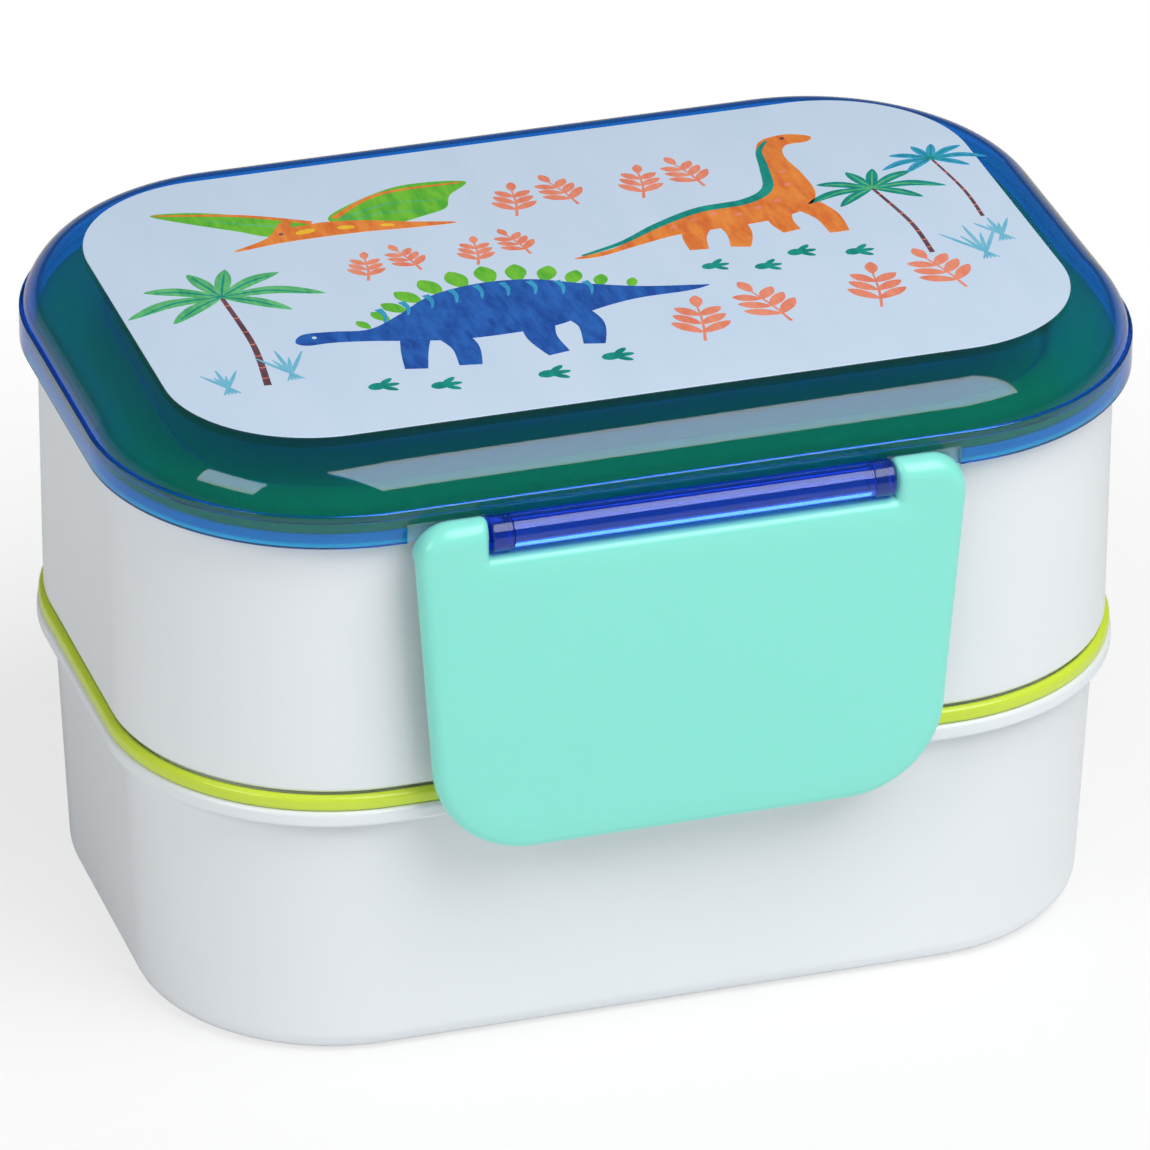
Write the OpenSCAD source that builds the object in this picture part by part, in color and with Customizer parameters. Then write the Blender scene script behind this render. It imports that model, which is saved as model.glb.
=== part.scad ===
// Two-tier bento lunch box, in millimetres.
// +X runs along the length, -Y is the front, +Z is up. The origin is the centre of the base.

/* [Plan] */
// Length over the cover's skirt
cover_len = 180; // [150:0.2:220]
// Width over the cover's skirt, front to back
cover_wid = 121.4; // [108:0.2:150]
// Outer corner radius of the cover's skirt
corner_r = 41; // [34:0.1:46]

/* [Tiers] */
// Height of the lower tier, base to rim
lower_h = 49.2; // [36:0.1:70]
// Height of the upper tier, foot to rim
upper_h = 50.9; // [36:0.1:70]
// Wall and floor thickness of both tiers
wall_t = 1.8; // [1.2:0.1:2.4]
// How far the lower wall leans in from rim to base
lower_draft = 2.2; // [0.4:0.1:3]
// How far the upper wall leans in from rim to foot
upper_draft = 0.15; // [0.1:0.05:1]
// Outer radius between the lower tier's wall and base
base_fillet = 4.2; // [3:0.1:6]
// Height of the rim round the lower tier
lower_rim_h = 2.8; // [2.4:0.1:4]
// Height of the rim round the upper tier, hidden by the skirt
upper_rim_h = 2; // [1.4:0.1:3]
// How far the upper tier's rim stands out of its wall
upper_rim_out = 0.9; // [0.8:0.1:1.6]
// How far the lower tier's rim stands out past the upper tier's wall
lower_rim_out = 1.2; // [1:0.1:2.2]
// How far the lower tier's wall lies inside its rim
lower_rim_in = 2.85; // [2.6:0.05:4]
// Height of the foot that nests in the middle lid
foot_h = 1.7; // [1.4:0.1:3]
// How far that foot is set in from the upper wall
foot_in = 1.45; // [1.2:0.05:2]

/* [Seal lids] */
// Thickness of both seal lids
lid_t = 1.4; // [1:0.1:2]
// Height of the inner lid's rim, seen through the skirt
inner_rim_h = 2; // [1.6:0.1:3]
// Depth of the plug below each seal lid
plug_h = 4.4; // [3.6:0.1:6]
// Wall of the plug
plug_t = 1.7; // [1.4:0.1:2.2]
// Height of each gasket
gasket_h = 2; // [1.6:0.1:2.6]
// Depth of the groove that holds each gasket
gasket_in = 0.7; // [0.5:0.05:1]
// Step down of the inner lid's middle
inner_step = 1.2; // [0.6:0.1:1.8]

/* [Cover] */
// Thickness of the cover's skirt
skirt_t = 1.8; // [1.6:0.1:2.2]
// Thickness of the dome
dome_t = 1.8; // [1.6:0.1:2.4]
// How far the skirt hangs below the upper tier's rim
skirt_drop = 2.2; // [2.1:0.1:5]
// Height of the skirt, from its lower edge to the ledge
skirt_h = 6.1; // [5:0.1:9]
// Height of the dome above the skirt
dome_h = 8.8; // [8:0.1:14]
// Radius of the dome's rounded shoulder
shoulder_r = 11.1; // [9:0.1:14]
// Width of the ledge between the skirt and the dome
ledge_w = 0.6; // [0.4:0.1:1.2]
// Length of the printed label
label_len = 156.2; // [120:0.2:190]
// Width of the printed label
label_wid = 97.2; // [70:0.2:118]
// Corner radius of the label
label_r = 24.6; // [12:0.1:30]
// Thickness of the label
label_t = 0.3; // [0.2:0.05:0.6]

/* [Clips] */
// Width of a clip across its ears
clip_w = 94.4; // [80:0.2:96]
// How much narrower each side of a clip gets towards the bottom
clip_taper = 2.9; // [0:0.1:4]
// Radius of a clip's lower corners
clip_bottom_r = 17; // [8:0.5:24]
// Radius of a clip's upper corners, seen from the front
clip_top_r = 6; // [3:0.1:8]
// Width between the ears
notch_w = 69.8; // [60:0.2:74]
// Distance from the cover's skirt out to each hinge axis
hinge_out = 2.4; // [2.2:0.1:4]
// Distance from the hinge axis to a clip's outer face
clip_out = 3.1; // [3:0.1:4]
// Thickness of a clip's plate
clip_t = 2.2; // [1.6:0.1:2.6]
// Thickness of the wall round a clip's edge
clip_edge_t = 1.8; // [1.4:0.1:2.4]
// Length of the hook
hook_len = 60; // [40:1:70]
// Thickness of the hook
hook_t = 2; // [1.6:0.1:3]
// How far a clip runs on below its hook
clip_below = 2; // [1:0.1:4]
// Radius of the hinge bar
bar_r = 3.1; // [3:0.05:3.6]
// Radius of the hinge pins
pin_r = 1.4; // [1.2:0.05:1.6]
// Length of each hinge pin
pin_len = 3; // [2:0.1:4]

/* [Divider] */
// Thickness of the divider
divider_t = 1.6; // [1.2:0.1:2.4]
// Place of the divider along the box
divider_x = 12; // [-30:1:30]
// Width of the feet at the divider's ends
divider_foot = 8; // [5:0.5:12]

/* [Hidden] */
// Clearance between pieces that nest
nest_gap = 0.3;
// Clearance between the skirt and the rim inside it
skirt_gap = 0.3;
// Running clearance of a hinge pin
pin_gap = 0.08;
// Side clearance between a clip's ear and the hinge bar
ear_gap = 0.4;
// Clearance round a clip's ear in the pocket of the skirt behind it
pocket_gap = 0.25;
// Largest and smallest edge roundings
edge_r = 0.8;
small_r = 0.4;
// Inner radius between wall and floor
floor_r = 3;
// Recess under the base, and the width of the ring left to stand on
base_recess = 0.8;
base_ring = 2.4;
// Steps in a quarter turn of a profile, and of the dome
quarter = 6;
dome_steps = 14;
// How far joined solids reach into each other
bite = 0.5;
$fn = 96;

// Centres of the corner curves, which every loop round the box shares
cx = cover_len / 2 - corner_r;
cy = cover_wid / 2 - corner_r;
// Radius at which each floor's flat middle takes over from the swept loop
mid_r = corner_r / 2;

// Radii, counted from the corner centres
skirt_in_r = corner_r - skirt_t;
rim_r = skirt_in_r - skirt_gap;
upper_r = rim_r - upper_rim_out;
upper_low_r = upper_r - upper_draft;
upper_in_r = upper_r - wall_t;
upper_floor_r = upper_low_r - wall_t - 0.55;
foot_r = upper_low_r - foot_in;
lower_rim_r = upper_low_r + lower_rim_out;
lower_r = lower_rim_r - lower_rim_in;
lower_base_r = lower_r - lower_draft;
lower_in_r = lower_r - wall_t;
lower_floor_r = lower_base_r - wall_t;
bead_in_r = foot_r + nest_gap;
bead_r = (upper_low_r + lower_rim_r) / 2 + 0.25;
dome_r = corner_r - ledge_w;
shoulder_a = asin((shoulder_r - dome_h) / shoulder_r);
dome_top_r = dome_r - shoulder_r * cos(shoulder_a);

// Heights
lower_rim_z = lower_h - lower_rim_h;
foot_z = lower_h + lid_t;
upper_step_z = foot_z + foot_h;
upper_floor_z = foot_z + wall_t;
upper_top = foot_z + upper_h;
upper_rim_z = upper_top - upper_rim_h;
inner_top = upper_top + inner_rim_h;
skirt_z = upper_top - skirt_drop;
ledge_z = skirt_z + skirt_h;
top_z = ledge_z + dome_h;

// Hinge axes and clips
axis_y = cover_wid / 2 + hinge_out;
axis_z = skirt_z + 1.1;
ear_r = bar_r - 0.1;
clip_top = clip_out + 0.1;
bar_half = notch_w / 2 - ear_gap;
rim_depth = 0.5;
shelf_w = -(bar_r + 1.35);
shelf_t = 1.6;
notch_floor = -(bar_r + 0.2);
hook_top = lower_rim_z - 0.5 - axis_z;
clip_bottom = hook_top - hook_t - clip_below;
hook_reach = axis_y - (cy + lower_rim_r) - nest_gap;

// Points of an arc of radius r about c, from angle a to angle b
function arc(c, r, a, b, n = quarter) =
    [for (i = [0:n]) c + r * [cos(a + (b - a) * i / n), sin(a + (b - a) * i / n)]];

// Points of a quarter ellipse about c, from its top down to its side
function dome_inside(c, w, h) =
    [for (i = [0:dome_steps]) c + [w * sin(90 * i / dome_steps), h * cos(90 * i / dome_steps)]];

// Sweeps a profile of (radius, height) once round the box
module loop() {
    for (sx = [0, 1], sy = [0, 1])
        mirror([sx, 0, 0]) mirror([0, sy, 0])
            translate([cx, cy, 0]) rotate_extrude(angle = 90) children();
    for (sy = [0, 1])
        mirror([0, sy, 0]) translate([-cx, cy, 0]) rotate([90, 0, 90])
            linear_extrude(2 * cx) children();
    for (sx = [0, 1])
        mirror([sx, 0, 0]) translate([cx, cy, 0]) rotate([90, 0, 0])
            linear_extrude(2 * cy) children();
}

// A rectangle with round corners
module round_rect(len, wid, r) {
    square([len - 2 * r, wid], center = true);
    square([len, wid - 2 * r], center = true);
    for (sx = [-1, 1], sy = [-1, 1])
        translate([sx * (len / 2 - r), sy * (wid / 2 - r)]) circle(r);
}

// The flat middle that closes a swept floor or top
module middle(low, high) {
    translate([0, 0, low]) linear_extrude(high - low)
        round_rect(2 * (cx + mid_r + bite), 2 * (cy + mid_r + bite), mid_r + bite);
}

// Lower tier: floor, wall and a rim that turns down
module lower_tier() {
    ring_r = lower_base_r - base_fillet;
    lip_t = 1.4;
    color([0.85, 0.89, 0.92]) {
        loop() polygon(concat(
            [[mid_r, base_recess], [ring_r - base_ring - base_recess, base_recess]],
            [[ring_r - base_ring, 0]],
            arc([ring_r, base_fillet], base_fillet, -90, 0),
            [[lower_r, lower_h - lip_t], [lower_rim_r - lip_t, lower_h - lip_t]],
            arc([lower_rim_r - lip_t / 2, lower_rim_z + lip_t / 2], lip_t / 2, 180, 360),
            arc([lower_rim_r - edge_r, lower_h - edge_r], edge_r, 0, 90),
            arc([lower_in_r + small_r, lower_h - small_r], small_r, 90, 180, 3),
            arc([lower_floor_r - floor_r, base_recess + wall_t + floor_r], floor_r, 0, -90),
            [[mid_r, base_recess + wall_t]]));
        middle(base_recess, base_recess + wall_t);
    }
}

// Upper tier: its foot nests in the middle lid, and its rim lies inside the skirt
module upper_tier() {
    color([0.85, 0.89, 0.92]) {
        loop() polygon(concat(
            [[mid_r, foot_z]],
            arc([foot_r - edge_r, foot_z + edge_r], edge_r, -90, 0),
            [[foot_r, upper_step_z]],
            arc([upper_low_r - edge_r, upper_step_z + edge_r], edge_r, -90, 0),
            [[upper_r, upper_rim_z]],
            arc([rim_r - small_r, upper_rim_z + small_r], small_r, -90, 0, 3),
            arc([rim_r - small_r, upper_top - small_r], small_r, 0, 90, 3),
            arc([upper_in_r + small_r, upper_top - small_r], small_r, 90, 180, 3),
            arc([upper_floor_r - floor_r, upper_floor_z + floor_r], floor_r, 0, -90),
            [[mid_r, upper_floor_z]]));
        middle(foot_z, upper_floor_z);
    }
}

// Outline of the plug under a seal lid, with the groove for its gasket
function plug(out_r, top) = [
    [out_r - plug_t, top], [out_r - plug_t, top - plug_h], [out_r, top - plug_h],
    [out_r, top - plug_h + 1.2], [out_r - gasket_in, top - plug_h + 1.2],
    [out_r - gasket_in, top - plug_h + 1.2 + gasket_h],
    [out_r, top - plug_h + 1.2 + gasket_h], [out_r, top]];

// Middle lid: seals the lower tier, and its bead holds the upper tier's foot
module middle_lid() {
    bead_top = upper_step_z - 0.4;
    round_r = (bead_r - bead_in_r) / 2;
    color([0.74, 0.90, 0.12]) {
        loop() polygon(concat(
            [[mid_r, lower_h]],
            plug(lower_in_r - 2 * nest_gap, lower_h),
            arc([bead_r - edge_r, lower_h + edge_r], edge_r, -90, 0),
            arc([bead_r - round_r, bead_top - round_r], round_r, 0, 180, 2 * quarter),
            [[bead_in_r, foot_z], [mid_r, foot_z]]));
        middle(lower_h, foot_z);
    }
}

// Inner lid: seals the upper tier under the cover, with a middle that is set down
module inner_lid() {
    step_r = dome_top_r - 3;
    color([0.74, 0.90, 0.12]) {
        loop() polygon(concat(
            [[mid_r, inner_top - inner_step - lid_t], [step_r - inner_step, inner_top - inner_step - lid_t]],
            [[step_r, inner_top - lid_t]],
            [[upper_in_r - 2 * nest_gap - plug_t, inner_top - lid_t]],
            plug(upper_in_r - 2 * nest_gap, upper_top),
            arc([rim_r - edge_r, upper_top + edge_r], edge_r, -90, 0),
            arc([rim_r - edge_r, inner_top - edge_r], edge_r, 0, 90),
            [[step_r, inner_top], [step_r - inner_step, inner_top - inner_step]],
            [[mid_r, inner_top - inner_step]]));
        middle(inner_top - inner_step - lid_t, inner_top - inner_step);
    }
}

// Gasket in the groove of a plug, with two lips that bear on the tier's wall
module gasket(plug_r, plug_top) {
    low = plug_top - plug_h + 1.2;
    root = plug_r - gasket_in;
    lip_r = gasket_h / 4;
    color([0.95, 0.95, 0.93])
        loop() polygon(concat(
            [[root, low]],
            arc([plug_r + nest_gap - lip_r, low + lip_r], lip_r, -90, 70),
            arc([plug_r + nest_gap - lip_r, low + gasket_h - lip_r], lip_r, -70, 90),
            [[root, low + gasket_h]]));
}

module middle_lid_gasket() {
    gasket(lower_in_r - 2 * nest_gap, lower_h);
}

module inner_lid_gasket() {
    gasket(upper_in_r - 2 * nest_gap, upper_top);
}

// Divider: stands across the upper tier and slides along it
module divider() {
    half = cy + upper_floor_r - nest_gap;
    low = upper_floor_z;
    high = upper_top - plug_h - 2;
    round_r = floor_r + nest_gap;
    color([0.74, 0.90, 0.12]) {
        translate([divider_x + divider_t / 2, 0, 0]) rotate([90, 0, -90])
            linear_extrude(divider_t) polygon(concat(
                arc([half - round_r, low + round_r], round_r, -90, 0),
                [[half, high], [-half, high]],
                arc([-half + round_r, low + round_r], round_r, 180, 270)));
        for (sy = [-1, 1])
            translate([divider_x - divider_foot / 2, sy * (half - divider_t / 2) - divider_t / 2,
                       low + round_r])
                cube([divider_foot, divider_t, high - low - round_r]);
    }
}

// Hinge bar at the front of the cover: a hood open below, with a pin at each end
module hinge_bar() {
    end_block = 3.6;
    hood_r = bar_r - 1.25;
    difference() {
        union() {
            translate([-bar_half, -axis_y, axis_z]) rotate([0, 90, 0])
                cylinder(h = 2 * bar_half, r = bar_r);
            translate([-bar_half, -axis_y, axis_z - bar_r / 2])
                cube([2 * bar_half, axis_y - cover_wid / 2 + skirt_t / 2, bar_r]);
        }
        translate([end_block - bar_half, -axis_y, axis_z]) rotate([0, 90, 0])
            cylinder(h = 2 * (bar_half - end_block), r = hood_r);
        translate([end_block - bar_half, -axis_y - hood_r, axis_z - 2 * bar_r])
            cube([2 * (bar_half - end_block), 1.75 * hood_r, 2 * bar_r]);
    }
    for (sx = [0, 1])
        mirror([sx, 0, 0]) translate([bar_half - bite, -axis_y, axis_z]) rotate([0, 90, 0])
            cylinder(h = pin_len + bite, r = pin_r);
}

// Cover: skirt, rounded shoulder and flat top, with a hinge bar front and back
module cover() {
    in_r = dome_r - dome_t;
    pocket_y = axis_y - max(ear_r, clip_top) - pocket_gap;
    color([0.05, 0.2, 0.75, 0.6]) {
        difference() {
            loop() polygon(concat(
                arc([corner_r - small_r, skirt_z + small_r], small_r, -90, 0, 3),
                arc([corner_r - small_r, ledge_z - small_r], small_r, 0, 90, 3),
                arc([dome_top_r, top_z - shoulder_r], shoulder_r, shoulder_a, 90, dome_steps),
                [[mid_r, top_z], [mid_r, top_z - dome_t]],
                dome_inside([dome_top_r, inner_top], in_r - dome_top_r, top_z - dome_t - inner_top),
                [[skirt_in_r, inner_top], [skirt_in_r, skirt_z]]));
            for (sx = [0, 1], sy = [0, 1])
                mirror([sx, 0, 0]) mirror([0, sy, 0])
                    translate([bar_half, pocket_y, skirt_z - bite])
                        cube([clip_w / 2 + ear_gap - bar_half, max(ear_r, clip_top) + hinge_out,
                              axis_z + max(ear_r, clip_top) + pocket_gap - skirt_z + bite]);
        }
        middle(top_z - dome_t, top_z);
        for (turn = [0, 180]) rotate(turn) hinge_bar();
    }
}

// Printed label on the cover's flat top
module label() {
    color([0.77, 0.84, 0.92]) translate([0, 0, top_z]) linear_extrude(label_t)
        round_rect(label_len, label_wid, label_r);
}

// Outline of a clip seen from the front, set in from its edge by inset
module clip_outline(inset) {
    top_half = clip_w / 2 - inset;
    low_half = top_half - clip_taper;
    low = clip_bottom + inset;
    low_r = clip_bottom_r - inset;
    right = concat(
        arc([low_half - low_r, low + low_r], low_r, -90, 0, 2 * quarter),
        arc([top_half - clip_top_r, clip_top - clip_top_r], clip_top_r, 0, 90));
    polygon(concat(right, [for (i = [len(right) - 1:-1:0]) [-right[i][0], right[i][1]]]));
}

// Outline of a clip seen from its end: round about the hinge axis, flat in front
module clip_side() {
    tip_r = 1.4;
    polygon(concat(
        arc([0, clip_top - clip_out], clip_out, 90, 0, 2 * quarter),
        arc([clip_out - tip_r, clip_bottom + tip_r], tip_r, 0, -90),
        [[-rim_depth, clip_bottom], [-rim_depth, 0], [0, 0]]));
    circle(ear_r);
}

// Clip, drawn about its hinge axis with its outer face towards +Y
module clip() {
    half_notch = notch_w / 2;
    difference() {
        intersection() {
            translate([0, clip_out, 0]) rotate([90, 0, 0])
                linear_extrude(clip_out + bar_r) clip_outline(0);
            translate([-clip_w / 2, 0, 0]) rotate([90, 0, 90])
                linear_extrude(clip_w) clip_side();
        }
        intersection() {
            translate([0, clip_out - clip_t, 0]) rotate([90, 0, 0])
                linear_extrude(2 * clip_out) clip_outline(clip_edge_t);
            translate([-clip_w / 2, -2 * clip_out, clip_bottom])
                cube([clip_w, 4 * clip_out, shelf_w - shelf_t - clip_bottom]);
        }
        translate([-half_notch, -2 * clip_out, notch_floor])
            cube([notch_w, 4 * clip_out, 4 * clip_out]);
        translate([-half_notch, clip_out - clip_t - 4 * clip_out, shelf_w])
            cube([notch_w, 4 * clip_out, 4 * clip_out]);
        for (sx = [0, 1])
            mirror([sx, 0, 0]) translate([half_notch - bite, 0, 0]) rotate([0, 90, 0])
                cylinder(h = pin_len + 2 * bite, r = pin_r + pin_gap);
    }
    translate([-hook_len / 2, -hook_reach, hook_top - hook_t])
        cube([hook_len, hook_reach + clip_out - clip_t + bite, hook_t]);
}

module front_clip() {
    color([0.56, 0.91, 0.85]) translate([0, -axis_y, axis_z]) rotate(180) clip();
}

module back_clip() {
    color([0.56, 0.91, 0.85]) translate([0, axis_y, axis_z]) clip();
}

lower_tier();
middle_lid();
middle_lid_gasket();
upper_tier();
divider();
inner_lid();
inner_lid_gasket();
cover();
label();
front_clip();
back_clip();
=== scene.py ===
"""Two-tier bento lunch box: the finished look of every piece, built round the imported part.

Sizes are in millimetres in the part's own frame (+X along the length, -Y the front, +Z up) and
turn into metres only when a mesh is made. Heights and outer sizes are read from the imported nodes.
"""

from __future__ import annotations

import logging
import math
from dataclasses import dataclass, field
from enum import Enum
from functools import lru_cache
from typing import Iterable, Sequence

import bpy
from mathutils import Matrix, Vector
from mathutils.geometry import tessellate_polygon


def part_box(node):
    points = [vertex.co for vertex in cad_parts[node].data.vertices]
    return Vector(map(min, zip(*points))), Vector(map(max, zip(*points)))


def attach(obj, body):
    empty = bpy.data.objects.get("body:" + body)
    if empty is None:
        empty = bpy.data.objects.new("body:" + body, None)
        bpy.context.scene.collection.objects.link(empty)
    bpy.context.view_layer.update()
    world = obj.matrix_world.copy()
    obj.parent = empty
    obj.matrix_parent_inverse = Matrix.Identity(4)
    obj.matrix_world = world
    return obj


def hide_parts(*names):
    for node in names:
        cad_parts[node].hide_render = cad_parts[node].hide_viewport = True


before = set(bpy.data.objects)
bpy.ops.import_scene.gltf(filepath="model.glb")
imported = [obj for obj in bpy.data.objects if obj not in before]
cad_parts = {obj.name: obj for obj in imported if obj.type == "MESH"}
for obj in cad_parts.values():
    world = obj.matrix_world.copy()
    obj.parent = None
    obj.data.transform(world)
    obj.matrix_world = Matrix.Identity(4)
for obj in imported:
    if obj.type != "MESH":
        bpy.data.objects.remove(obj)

LOG = logging.getLogger("bento")
MM = 0.001
COVER_CORNER = 41.0  # radius of the cover's corners
PLUG_PLAY = 0.3  # how far a gasket's lips stand out of its plug
HINGE_DROP = 1.1  # how far the clips' hinge axes lie below the upper tier's rim

Point = tuple[float, float]
Point3 = tuple[float, float, float]
Corner = tuple[float, float, float]
Colour = tuple[float, float, float]


# --------------------------------------------------------------------------------------------- small helpers


def srgb(red: int, green: int, blue: int) -> Colour:
    """Turns a display colour into the linear colour that a shader takes.

    Args:
        red: Red, 0 to 255.
        green: Green, 0 to 255.
        blue: Blue, 0 to 255.

    Returns:
        The colour in linear light.
    """

    def linear(value: int) -> float:
        """Undoes the display curve for one channel."""
        share = value / 255
        return share / 12.92 if share <= 0.04045 else ((share + 0.055) / 1.055) ** 2.4

    return linear(red), linear(green), linear(blue)


@lru_cache(maxsize=None)
def node_box(node: str) -> tuple[Vector, Vector]:
    """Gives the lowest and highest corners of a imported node, in millimetres."""
    low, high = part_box(node)
    return low / MM, high / MM


def mix(start: float, end: float, share: float) -> float:
    """Gives the value that lies share of the way from start to end."""
    return start + (end - start) * share


def smooth_step(value: float) -> float:
    """Eases a value between 0 and 1, flat at both ends."""
    value = min(max(value, 0.0), 1.0)
    return value * value * (3 - 2 * value)


def rounded(corners: Sequence[Corner], closed: bool = False, steps: int = 7) -> list[Point]:
    """Rounds the corners of an outline with true arcs.

    Args:
        corners: Each corner's two coordinates and its radius, 0 for a sharp one.
        closed: Whether the last corner joins the first.
        steps: Steps in each arc.

    Returns:
        The outline's points in order.
    """
    points: list[Point] = []
    count = len(corners)
    for index, (across, up, radius) in enumerate(corners):
        here = Vector((across, up))
        at_end = not closed and index in (0, count - 1)
        if radius <= 0 or at_end:
            points.append((across, up))
            continue
        before = (Vector(corners[index - 1][:2]) - here).normalized()
        after = (Vector(corners[(index + 1) % count][:2]) - here).normalized()
        half = before.angle(after) / 2
        centre = here + (before + after).normalized() * radius / math.sin(half)
        first = here + before * radius / math.tan(half) - centre
        last = here + after * radius / math.tan(half) - centre
        for step in range(steps + 1):
            spoke = first.normalized().slerp(last.normalized(), step / steps) * radius
            points.append((centre.x + spoke.x, centre.y + spoke.y))
    return points


def arc(centre: Point, radius: float, start: float, end: float, steps: int) -> list[Point]:
    """Gives the points of an arc, its angles in degrees."""
    angles = [math.radians(mix(start, end, step / steps)) for step in range(steps + 1)]
    return [(centre[0] + radius * math.cos(a), centre[1] + radius * math.sin(a)) for a in angles]


def smooth_curve(points: Sequence[Point], closed: bool, steps: int = 8) -> list[Point]:
    """Runs a smooth curve through points.

    Args:
        points: The points the curve passes through.
        closed: Whether the curve joins up with its start.
        steps: Steps between one point and the next.

    Returns:
        The curve's points in order.
    """
    count = len(points)
    curve: list[Point] = []
    for index in range(count if closed else count - 1):
        if closed:
            near = [points[(index + shift) % count] for shift in (-1, 0, 1, 2)]
        else:
            near = [points[min(max(index + shift, 0), count - 1)] for shift in (-1, 0, 1, 2)]
        for step in range(steps):
            t = step / steps
            weights = (
                -0.5 * t + t * t - 0.5 * t**3,
                1 - 2.5 * t * t + 1.5 * t**3,
                0.5 * t + 2 * t * t - 1.5 * t**3,
                -0.5 * t * t + 0.5 * t**3,
            )
            curve.append(tuple(sum(w * p[axis] for w, p in zip(weights, near)) for axis in (0, 1)))
    if not closed:
        curve.append(tuple(points[-1]))
    return curve


@dataclass
class Mesh:
    """Collects vertices, in millimetres, and faces, and turns them into an object.

    Attributes:
        vertices: Places of the vertices.
        faces: Faces as lists of vertex numbers.
        slots: Material slot of each face, in step with faces.
    """

    vertices: list[Sequence[float]] = field(default_factory=list)
    faces: list[Sequence[int]] = field(default_factory=list)
    slots: list[int] = field(default_factory=list)

    def add(self, vertices: Iterable[Sequence[float]], faces: Iterable[Sequence[int]], slot: int = 0) -> None:
        """Adds a group of vertices and the faces that count from its first vertex.

        Args:
            vertices: Places of the vertices.
            faces: Faces, counting from the group's first vertex.
            slot: Material slot of the faces.
        """
        first = len(self.vertices)
        self.vertices.extend(vertices)
        for face in faces:
            self.faces.append([first + number for number in face])
            self.slots.append(slot)

    def grid(self, rows: Sequence[Sequence[Sequence[float]]], closed_rows: bool, closed_columns: bool,
             slots: Sequence[int] | None = None) -> None:
        """Adds a sheet of quads through rows of points.

        Args:
            rows: Rows of points, all of one length.
            closed_rows: Whether each row joins up with its start.
            closed_columns: Whether the last row joins the first.
            slots: Material slot of each strip between two rows, or none for the first slot.
        """
        width = len(rows[0])
        first = len(self.vertices)
        for row in rows:
            self.vertices.extend(row)
        for low in range(len(rows) if closed_columns else len(rows) - 1):
            high = (low + 1) % len(rows)
            for left in range(width if closed_rows else width - 1):
                right = (left + 1) % width
                self.faces.append([first + low * width + left, first + low * width + right,
                                   first + high * width + right, first + high * width + left])
                self.slots.append(slots[low] if slots else 0)

    def tube(self, rows: Sequence[Sequence[Sequence[float]]]) -> None:
        """Adds a solid through closed sections, with a flat face at each end.

        Args:
            rows: The sections in order, all of one length.
        """
        first = len(self.vertices)
        width = len(rows[0])
        self.grid(rows, True, False)
        last = first + (len(rows) - 1) * width
        self.faces.append([first + index for index in range(width)][::-1])
        self.faces.append([last + index for index in range(width)])
        self.slots += [0, 0]

    def sheet(self, front: Sequence[Sequence], back: Sequence[Sequence], flip: bool) -> None:
        """Adds a solid between a front and a back sheet, whose places may be missing where it is cut out.

        Args:
            front: Rows of points of the front sheet, None where there is nothing.
            back: The back sheet's points, laid out the same way.
            flip: Whether to turn every face over.
        """
        numbers: dict[tuple[int, int], int] = {}
        first = len(self.vertices)
        for r, row in enumerate(front):
            for c, point in enumerate(row):
                if point is not None:
                    numbers[(r, c)] = len(numbers)
                    self.vertices.append(point)
        count = len(numbers)
        self.vertices.extend(back[r][c] for r, c in numbers)
        quads = []
        for r in range(len(front) - 1):
            for c in range(len(front[0]) - 1):
                keys = ((r, c), (r, c + 1), (r + 1, c + 1), (r + 1, c))
                if all(key in numbers for key in keys):
                    quads.append([numbers[key] for key in keys])
        edges = {(quad[i], quad[(i + 1) % 4]) for quad in quads for i in range(4)}
        faces = list(quads)
        faces += [[count + number for number in reversed(quad)] for quad in quads]
        faces += [[b, a, count + a, count + b] for a, b in edges if (b, a) not in edges]
        for face in faces:
            placed = [first + number for number in face]
            self.faces.append(placed[::-1] if flip else placed)
            self.slots.append(0)

    def cap(self, row: int, width: int, flip: bool, slot: int = 0) -> None:
        """Closes one row of the last grid with a flat face.

        Args:
            row: Number of the row.
            width: Points in a row.
            flip: Whether to turn the face over.
            slot: Material slot of the face.
        """
        numbers = [row * width + index for index in range(width)]
        self.faces.append(numbers[::-1] if flip else numbers)
        self.slots.append(slot)

    def build(self, name: str, crease: float = 45.0) -> bpy.types.Object:
        """Makes the object, smooth but for edges sharper than the crease angle.

        Args:
            name: Name of the piece.
            crease: Angle in degrees above which an edge stays sharp.

        Returns:
            The new object, in metres, with its origin at the part's.
        """
        data = bpy.data.meshes.new(name)
        data.from_pydata([[c * MM for c in v] for v in self.vertices], [], self.faces)
        data.polygons.foreach_set("material_index", self.slots)
        data.polygons.foreach_set("use_smooth", [True] * len(data.polygons))
        data.validate()
        data.update()
        data.set_sharp_from_angle(angle=math.radians(crease))
        piece = bpy.data.objects.new(name, data)
        bpy.context.scene.collection.objects.link(piece)
        weighted = piece.modifiers.new("even_shading", "WEIGHTED_NORMAL")
        weighted.keep_sharp = True
        weighted.weight = 60
        return piece


@dataclass(frozen=True)
class Rod:
    """A round rod along X, used to cut a bore or a pocket.

    Attributes:
        x: Place of its middle along X.
        y: Place of its axis along Y.
        z: Height of its axis.
        radius: Its radius.
        length: Its length.
    """

    x: float
    y: float
    z: float
    radius: float
    length: float

    def sections(self, steps: int = 40) -> list[list[Point3]]:
        """Gives the rod's two end sections, for a tube.

        Args:
            steps: Steps round the rod.

        Returns:
            Both sections.
        """
        turns = [2 * math.pi * step / steps for step in range(steps)]
        circle = [(math.cos(turn), math.sin(turn)) for turn in turns]
        return [[(self.x + end * self.length / 2, self.y + a * self.radius, self.z + b * self.radius)
                 for a, b in circle] for end in (-1, 1)]


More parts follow.
